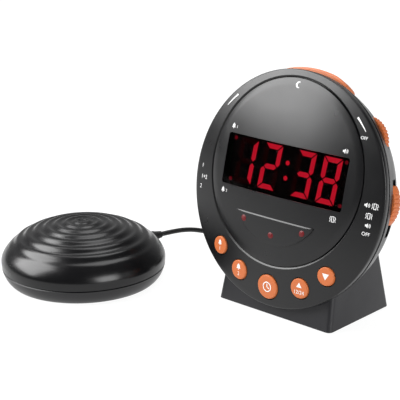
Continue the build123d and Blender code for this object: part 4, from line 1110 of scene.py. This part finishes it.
# %% Puck upper shell
SHAKER_HEIGHT = 37.4
SHAKER_RADIUS = 52.2
SHAKER_BASE = 46.7
SHAKER_WIDEST = 13.5
SHOULDER = ((0.0, SHAKER_HEIGHT), (38.8, SHAKER_HEIGHT), (SHAKER_RADIUS, 19.8),
            (SHAKER_RADIUS, SHAKER_WIDEST))
SKIRT = ((SHAKER_RADIUS, SHAKER_WIDEST), (SHAKER_RADIUS, 4.32), (SHAKER_BASE, 0.0))
SEAM = 9.3
SEAM_GROOVE = 0.4
SEAM_CLEAR = 0.3
PUCK_WALL = 2.4
RIPPLE_PITCH = 6.2
RIPPLE_FIRST = 4.1
RIPPLE_HEIGHT = 0.45
RIPPLE_END = 42.5
RIPPLE_FADE = 5.0
PUCK_STEPS = 150
SKIRT_STEPS = 40
INNER_STEPS = 20


def curve(guides, steps):
    """Points along a Bezier curve, from its first guide to its last."""
    line = []
    for i in range(steps + 1):
        points = [Vector(guide) for guide in guides]
        while len(points) > 1:
            points = [first.lerp(second, i / steps) for first, second in zip(points, points[1:])]
        line.append((points[0].x, points[0].y))
    return line


def ripple(radius):
    """Height of the ripples at a radius, fading out near the shoulder."""
    fade = min(max((RIPPLE_END + RIPPLE_FADE - radius) / RIPPLE_FADE, 0.0), 1.0)
    wave = math.cos(2 * math.pi * (radius - RIPPLE_FIRST) / RIPPLE_PITCH)
    return RIPPLE_HEIGHT * fade * wave


seam_top, seam_low = SEAM + SEAM_GROOVE / 2, SEAM - SEAM_GROOVE / 2
skirt = curve(SKIRT, SKIRT_STEPS)
outer = [(radius, height + ripple(radius)) for radius, height in curve(SHOULDER, PUCK_STEPS)]
outer += [point for point in skirt[1:] if point[1] > seam_top + SEAM_CLEAR]
edge = outer[-1][0]
outer += [(edge - 0.05, seam_top + 0.25), (edge - 0.3, seam_top)]
inner = [(edge - PUCK_WALL, seam_top)]
inner += [(max(radius - PUCK_WALL, 0.0), height - PUCK_WALL - RIPPLE_HEIGHT)
          for radius, height in reversed(curve(SHOULDER, INNER_STEPS))]
shaker_top = move(turn("shaker_top", outer + inner), *SHAKER)
finish_piece(shaker_top, "clock", "puck_plastic", "shaker_top", angle=40.0)

# %% [markdown]
# The lower shell carries on the same curve below a thin seam and turns in to a flat base. It is
# turned in the same way, with a wall of its own, and four screw holes are bored from below.

# %% Puck lower shell
PUCK_SCREW_RING = 41.0
PUCK_BORE = (-2.0, 4.65)

outer = [(edge - 0.3, seam_low), (edge - 0.08, seam_low - 0.25)]
outer += [point for point in skirt if point[1] < seam_low - SEAM_CLEAR]
inner = [(0.0, 0.0), (0.0, PUCK_WALL), (SHAKER_BASE - 1.5, PUCK_WALL), (edge - PUCK_WALL, seam_low)]
shaker_bottom = turn("shaker_bottom", outer + inner, closed=True)
bores = [peg("screw_bore", COUNTERBORE, *PUCK_BORE, *polar(PUCK_SCREW_RING, angle), 32)
         for angle in (45, 135, 225, 315)]
carve(shaker_bottom, join(bores))
move(shaker_bottom, *SHAKER)
finish_piece(shaker_bottom, "clock", "puck_base_plastic", "shaker_bottom", angle=40.0)

# %% [markdown]
# Where the cord leaves the puck, a moulded collar tapers down to the cord in a few soft ribs, so
# that the cord can't kink. It is turned about its own axis and laid along the cord's first stretch.

# %% Strain relief
RELIEF_ROOT = (2.6, 49.0)
RELIEF_COLLAR = 3.4
COLLAR_START = 52.3
COLLAR_END = 54.3
RELIEF_TIP = 2.2
RELIEF_RIBS = 4

outline = [(0.0, RELIEF_ROOT[1]), RELIEF_ROOT, (RELIEF_ROOT[0], COLLAR_START),
           (RELIEF_COLLAR - 0.2, COLLAR_START), (RELIEF_COLLAR, COLLAR_START + 0.2),
           (RELIEF_COLLAR, COLLAR_END - 0.2), (RELIEF_COLLAR - 0.2, COLLAR_END)]
rib_length = (RELIEF_END - COLLAR_END) / RELIEF_RIBS
for i in range(RELIEF_RIBS):
    start = COLLAR_END + rib_length * i
    radius = RELIEF_COLLAR - 0.3 + (RELIEF_TIP - RELIEF_COLLAR + 0.3) * (i + 0.5) / RELIEF_RIBS
    outline += [(radius - 0.25, start + 0.1), (radius, start + 0.25),
                (radius - 0.05, start + rib_length - 0.25),
                (radius - 0.25, start + rib_length - 0.1)]
outline += [(RELIEF_TIP - 0.3, RELIEF_END), (0.0, RELIEF_END)]
strain_relief = turn("strain_relief", outline, 48)
place(strain_relief, Matrix.Translation((SHAKER + Vector((0.0, 0.0, RELIEF_HEIGHT))) * MM)
      @ Matrix.Rotation(RELIEF_TURN, 4, "Z") @ Matrix.Rotation(math.pi / 2, 4, "Y"))
finish_piece(strain_relief, "clock", "cord_rubber", "strain_relief", angle=40.0)

# %% [markdown]
# At the other end the cord has a small round plug with a ribbed grip, pushed into the socket in the
# back of the head. It is turned about the socket's axis and placed with the head.

# %% Plug
PLUG_GRIP = 4.2
PLUG_BOOT = 2.2
PLUG_PIN = (1.75, 9.0)
GRIP_START = -46.2
GRIP_END = -60.2
BOOT_END = -68.2
GRIP_RIBS = 6
RIB_DEPTH = 0.35

outline = [(0.0, GRIP_START + PLUG_PIN[1]), (PLUG_PIN[0], GRIP_START + PLUG_PIN[1]),
           (PLUG_PIN[0], GRIP_START), (PLUG_GRIP - 0.5, GRIP_START), (PLUG_GRIP, GRIP_START - 0.5)]
rib_length = (GRIP_START - GRIP_END - 4.0) / GRIP_RIBS
for i in range(GRIP_RIBS):
    start = GRIP_START - 2.0 - rib_length * i
    outline += [(PLUG_GRIP - depth, start - rib_length * share)
                for share, depth in ((0.0, 0.0), (0.25, RIB_DEPTH), (0.6, RIB_DEPTH), (0.85, 0.0))]
outline += [(PLUG_GRIP, GRIP_END + 0.6), (PLUG_GRIP - 0.6, GRIP_END), (3.1, GRIP_END - 0.3),
            (PLUG_BOOT, BOOT_END), (0.0, BOOT_END)]
shaker_plug = move(turn("shaker_plug", outline, 48), -SOCKET_SIDE, SOCKET_Y)
finish_on_head(shaker_plug, "clock", "plug_rubber", "shaker_plug", angle=40.0)

# %% [markdown]
# A flat strap holds the wound cord together. It is a closed band around the bundle, with rounded
# corners, made from two outlines, one inside the other, raised to the strap's width.

# %% Coil tie
TIE_WIDTH = 6.0
TIE_THICKNESS = 0.7
TIE_CORNERS = (2.4, 1.7)
TIE_SLACK = (1.9, 1.34)
TIE_TURN = math.radians(195.0)

tie_inner_end = COIL_OUTER - COIL_PITCH * LAYER_TURNS - CORD_DIAMETER / 2 - TIE_SLACK[0]
tie_outer_end = COIL_OUTER + CORD_DIAMETER / 2 + TIE_SLACK[1]
tie_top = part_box("coil_tie")[1].z / MM
middle = ((tie_inner_end + tie_outer_end) / 2, tie_top / 2)
size = (tie_outer_end - tie_inner_end, tie_top)
outside = rounded_outline(*size, TIE_CORNERS[0], *middle)
coil_tie = slab("coil_tie", outside, -TIE_WIDTH / 2, TIE_WIDTH / 2)
inside = rounded_outline(*(side - 2 * TIE_THICKNESS for side in size), TIE_CORNERS[1], *middle)
carve(coil_tie, slab("tie_inside", inside, -TIE_WIDTH, TIE_WIDTH))
soften(coil_tie, 0.15, 2, 60.0)
place(coil_tie, Matrix.Translation(COIL * MM) @ Matrix.Rotation(TIE_TURN, 4, "Z")
      @ Matrix.Rotation(math.pi / 2, 4, "X"))
finish_piece(coil_tie, "clock", "tie_plastic", "coil_tie")

# %% [markdown]
# With its ends modelled, the cord, which has its real length, gets its rubber finish and rides on the
# clock, and the frame's own pieces of the cord are hidden.

paint(cord, "cord_rubber")
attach(cord, "clock")
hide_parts("cord_lead", "cord_coil", "cord_tail")
dressed.update(("cord_lead", "cord_coil", "cord_tail"))

# %% [markdown]
# Four round rubber feet keep the stand from sliding. One is turned with a rounded lower edge, and
# the others are copies.

# %% Feet
FOOT_RADIUS = 4.0
FOOT_TOP = 1.95
FOOT_PLACES = [(x * 34.5, y * 20.5) for x in SIDES for y in SIDES]

outline = [(0.0, FOOT_TOP), (FOOT_RADIUS, FOOT_TOP), (FOOT_RADIUS, 0.4), (FOOT_RADIUS - 0.12, 0.12),
           (FOOT_RADIUS - 0.4, 0.0), (0.0, 0.0)]
stand_feet = repeat(turn("stand_feet", outline, 40), FOOT_PLACES)
finish_piece(stand_feet, "clock", "foot_rubber", "stand_feet")

# %% [markdown]
# White marks are printed beside the controls: bells and numbers for the two alarms, a loudspeaker
# and a shaking box for sound and vibration, a moon for the snooze bar, and tapered arcs for the
# wheels. A print could be a texture, but a very thin raised mesh stays crisp at any size. Each mark
# is a few flat outlines with real thickness, moved to its place and draped on the dome.

# %% Mark shapes
LINE = 0.09


def band(centre, radius, width, start, end, steps=12):
    """A stroke of even width along an arc."""
    return (arc(centre, radius + width / 2, start, end, steps)
            + arc(centre, radius - width / 2, end, start, steps))


def stroke(start, end, width):
    """A straight stroke between two points."""
    start, end = Vector(start), Vector(end)
    along = (end - start).normalized() * width / 2
    across = Vector((-along.y, along.x))
    corners = (start - along + across, start - along - across,
               end + along - across, end + along + across)
    return [(corner.x, corner.y) for corner in corners]


def zigzag(x, way):
    """A shaking line of three strokes."""
    points = [(x, 0.42), (x + way * 0.12, 0.14), (x, -0.14), (x + way * 0.12, -0.42)]
    return [stroke(a, b, LINE) for a, b in zip(points, points[1:])]


def tapered_arc(radius, start, end, thin, thick, steps=12):
    """An arc about the face's middle that grows from thin to thick."""
    outer, inner = [], []
    for i in range(steps + 1):
        angle = start + (end - start) * i / steps
        half = (thin + (thick - thin) * i / steps) / 2
        outer.append(polar(radius + half, angle))
        inner.append(polar(radius - half, angle))
    return [outer + inner[::-1]]


BELL = [arc((0.0, 0.10), 0.28, 0, 180, 10)
        + [(-0.29, -0.12), (-0.43, -0.28), (0.43, -0.28), (0.29, -0.12)],
        arc((0.0, -0.33), 0.13, 180, 360, 8), arc((0.0, 0.44), 0.07, 0, 330, 8)]
LOUDSPEAKER = [[(-0.48, -0.16), (-0.26, -0.16), (0.0, -0.42), (0.0, 0.42), (-0.26, 0.16),
                (-0.48, 0.16)],
               band((0.0, 0.0), 0.24, LINE, -50, 50), band((0.0, 0.0), 0.44, LINE, -50, 50)]
SHAKING_BOX = [stroke((-0.2, -0.45), (0.2, -0.45), 0.1), stroke((-0.2, 0.45), (0.2, 0.45), 0.1),
               stroke((-0.2, -0.36), (-0.2, 0.36), 0.1), stroke((0.2, -0.36), (0.2, 0.36), 0.1),
               *zigzag(-0.42, -1), *zigzag(0.42, 1)]
MOON = [arc((0.0, 0.0), 0.45, 49.5, 310.5, 24) + arc((0.18, 0.0), 0.36, 288.2, 71.8, 24)[1:-1]]
DIAL = [band((0.0, 0.0), 0.42, LINE, 0, 180, 16), band((0.0, 0.0), 0.42, LINE, 180, 360, 16),
        stroke((0.0, 0.03), (0.0, 0.24), LINE), stroke((0.03, -0.02), (0.2, -0.12), LINE)]
UP_POINTER = [[(-0.45, -0.32), (0.45, -0.32), (0.0, 0.42)]]
DOWN_POINTER = [[(-0.45, 0.32), (0.0, -0.42), (0.45, 0.32)]]
print("outlines in the bell, the box and the dial:", len(BELL), len(SHAKING_BOX), len(DIAL))

# %% Printing tools
PRINT_LIFT = 0.05
PRINT_SINK = 0.08
PRINT_MERGE = 0.0005
CAPITAL_SHARE = 0.73


def stamp(shapes, x, y, size):
    """Flat outlines of a mark, scaled to a size and moved to a place, as thin slabs."""
    outlines = [[(x + size * px, y + size * py) for px, py in shape] for shape in shapes]
    return [slab("mark", outline, -PRINT_SINK, PRINT_LIFT) for outline in outlines]


def letter(text, x, y, height):
    """Numbers or a word as a thin mesh, centred on a place."""
    deselect()
    bpy.ops.object.text_add()
    words = bpy.context.object.data
    words.body = text
    words.align_x = "CENTER"
    words.align_y = "CENTER"
    words.size = height / CAPITAL_SHARE * MM
    words.extrude = (PRINT_LIFT + PRINT_SINK) / 2 * MM
    bpy.ops.object.convert(target="MESH")
    return [move(bpy.context.object, x, y, (PRINT_LIFT - PRINT_SINK) / 2)]


def print_on(name, marks, body, level=0.0):
    """Join marks into one print, drape it at a level above the dome and let it ride on a body."""
    piece = clean(join(marks), PRINT_MERGE)
    piece.name = name
    move(drape(piece), 0.0, 0.0, level)
    return finish_on_head(piece, body, None, finish="print_white")


print("thickness of the print in mm:", round(PRINT_LIFT + PRINT_SINK, 2))

# %% Print the face and the keys
MARK = 3.4
FACE_MARKS = ((MOON, 0.0, 60.9, 4.2), (BELL, -42.2, 30.2, MARK), (BELL, -42.6, -8.4, MARK),
              (LOUDSPEAKER, 40.8, 29.6, MARK), (SHAKING_BOX, 40.2, -9.2, MARK),
              (LOUDSPEAKER, 59.6, 2.9, MARK), (SHAKING_BOX, 64.2, 2.9, MARK),
              (SHAKING_BOX, 61.5, -2.9, MARK), (LOUDSPEAKER, 61.7, -8.3, MARK),
              (tapered_arc(66.2, 141.5, 132.5, 0.3, 1.1), 0.0, 0.0, 1.0),
              (tapered_arc(65.6, 40.0, 48.5, 0.3, 1.1), 0.0, 0.0, 1.0))
FACE_TEXTS = (("OFF", 50.2, 38.6, 1.8), ("1", -64.3, 2.1, 2.6), ("1+2", -61.6, -4.5, 2.6),
              ("2", -63.8, -10.6, 2.6), ("1", -39.2, 29.8, 1.8), ("2", -39.6, -8.8, 1.8),
              ("OFF", 61.2, -13.2, 2.1))
KEY_MARKS = ((BELL, "1"), (BELL, "2"), (DIAL, ""), (UP_POINTER, "12/24"), (DOWN_POINTER, ""))
MARK_ALONE = 0.46
MARK_WITH_TEXT = 0.34
MARK_LIFT = 0.16
TEXT_SHARE = 0.2

marks = []
for row in FACE_MARKS:
    marks += stamp(*row)
for row in FACE_TEXTS:
    marks += letter(*row)
print_on("face_print", marks, "clock")

for body, (x, y), size, (shape, text) in zip(KEY_BODIES, KEY_PLACES, KEY_SIZES, KEY_MARKS):
    if text:
        marks = stamp(shape, x, y + size * MARK_LIFT, size * MARK_WITH_TEXT)
        marks += letter(text, x, y - size * TEXT_SHARE, size * TEXT_SHARE)
    else:
        marks = stamp(shape, x, y, size * MARK_ALONE)
    print_on(body + "_print", marks, body, KEY_PROUD)

# %% [markdown]
# The pieces inside, and the plain flat ones of the display, are already right as the frame gives
# them. They only need a finish.

# %% Finishes on the frame's own pieces
# The unlit segments take the dark red with a faint painted glow.
FRAME_FINISHES = {
    "led_display": "display_black", "lit_segments": "lit_red", "unlit_segments": "dim_red",
    "indicator_dots": "dot_red", "stand_base": "stand_plastic", "battery_door": "stand_plastic",
    "front_board": "board_green", "main_board": "board_green", "speaker_cone": "cone_paper",
    "speaker_magnet": "magnet_iron", "eccentric_weight": "magnet_iron", "battery_cells": "cell_wrap",
    "battery_contacts": "contact_brass", "speaker_basket": "steel", "motor_shaft": "steel",
    "shaker_motor": "steel", "motor_clamp": "steel"}
for name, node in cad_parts.items():
    if name not in dressed:
        usual = "steel" if name.endswith("_screws") else "component_black"
        paint(node, FRAME_FINISHES.get(name, usual))
print("frame pieces finished:", len(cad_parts) - len(dressed))

# %% [markdown]
# Black plastic shows little but what it mirrors, so the room is lit like a product studio. The clock
# stands on a white light table, which gives off some light of its own. The room around it is dim,
# with a paler backdrop behind, which the top of the puck mirrors.
# One large soft box at the front left draws the bright fall-off on the dome and on the puck. Smaller
# boxes at the left, the right and above bring out edges.

# %% Floor and light
FLOOR_SIZE = 60.0
FLOOR_SHADE = 0.10
TABLE_GLOW = 0.93
WHITE = (1.0, 1.0, 1.0, 1.0)
ROOM_LIGHT = 0.10
BACKDROP_LIGHT = 0.42
BACKDROP_WAY = (-0.65, 0.70, 0.30)
BACKDROP_EDGES = (0.6, 0.95)

deselect()
bpy.ops.mesh.primitive_plane_add(size=FLOOR_SIZE)
floor = adopt("floor")
tree, shader = new_material("light_table")
set_inputs(shader, {"Base Color": (FLOOR_SHADE, FLOOR_SHADE, FLOOR_SHADE, 1.0), "Roughness": 0.8,
                    "Emission Color": WHITE, "Emission Strength": TABLE_GLOW})
paint(floor, "light_table")

world = bpy.data.worlds.new("studio")
bpy.context.scene.world = world
world.use_nodes = True
tree = world.node_tree
background = set_inputs(tree.nodes["Background"], {"Color": WHITE})
way = add_node(tree, "TexCoord", {})
facing = add_node(tree, "VectorMath", {1: BACKDROP_WAY})
facing.operation = "DOT_PRODUCT"
fade = add_node(tree, "MapRange", {"From Min": BACKDROP_EDGES[0], "From Max": BACKDROP_EDGES[1],
                                   "To Min": ROOM_LIGHT, "To Max": BACKDROP_LIGHT})
wire(tree, (way, "Generated", facing, 0), (facing, "Value", fade, "Value"),
     (fade, "Result", background, "Strength"))
bpy.context.scene.view_settings.view_transform = "Standard"


def soft_box(name, place_mm, aim_mm, size, power):
    """A square area light that looks at a point."""
    deselect()
    bpy.ops.object.light_add(type="AREA", location=Vector(place_mm) * MM)
    lamp = adopt(name)
    lamp.data.shape = "SQUARE"
    lamp.data.size = size
    lamp.data.energy = power
    lamp.rotation_euler = (Vector(aim_mm) - Vector(place_mm)).to_track_quat("-Z", "Y").to_euler()


soft_box("key_light", (-816, -684, 826), (0, 0, 80), 0.95, 30.0)
soft_box("edge_light", (-840, 20, 1000), (0, 0, 60), 0.5, 3.0)
soft_box("side_light", (1000, -250, 450), (0, 0, 60), 0.6, 9.0)
soft_box("top_light", (-100, 300, 1300), (0, 0, 60), 0.8, 8.0)
print("lights set")
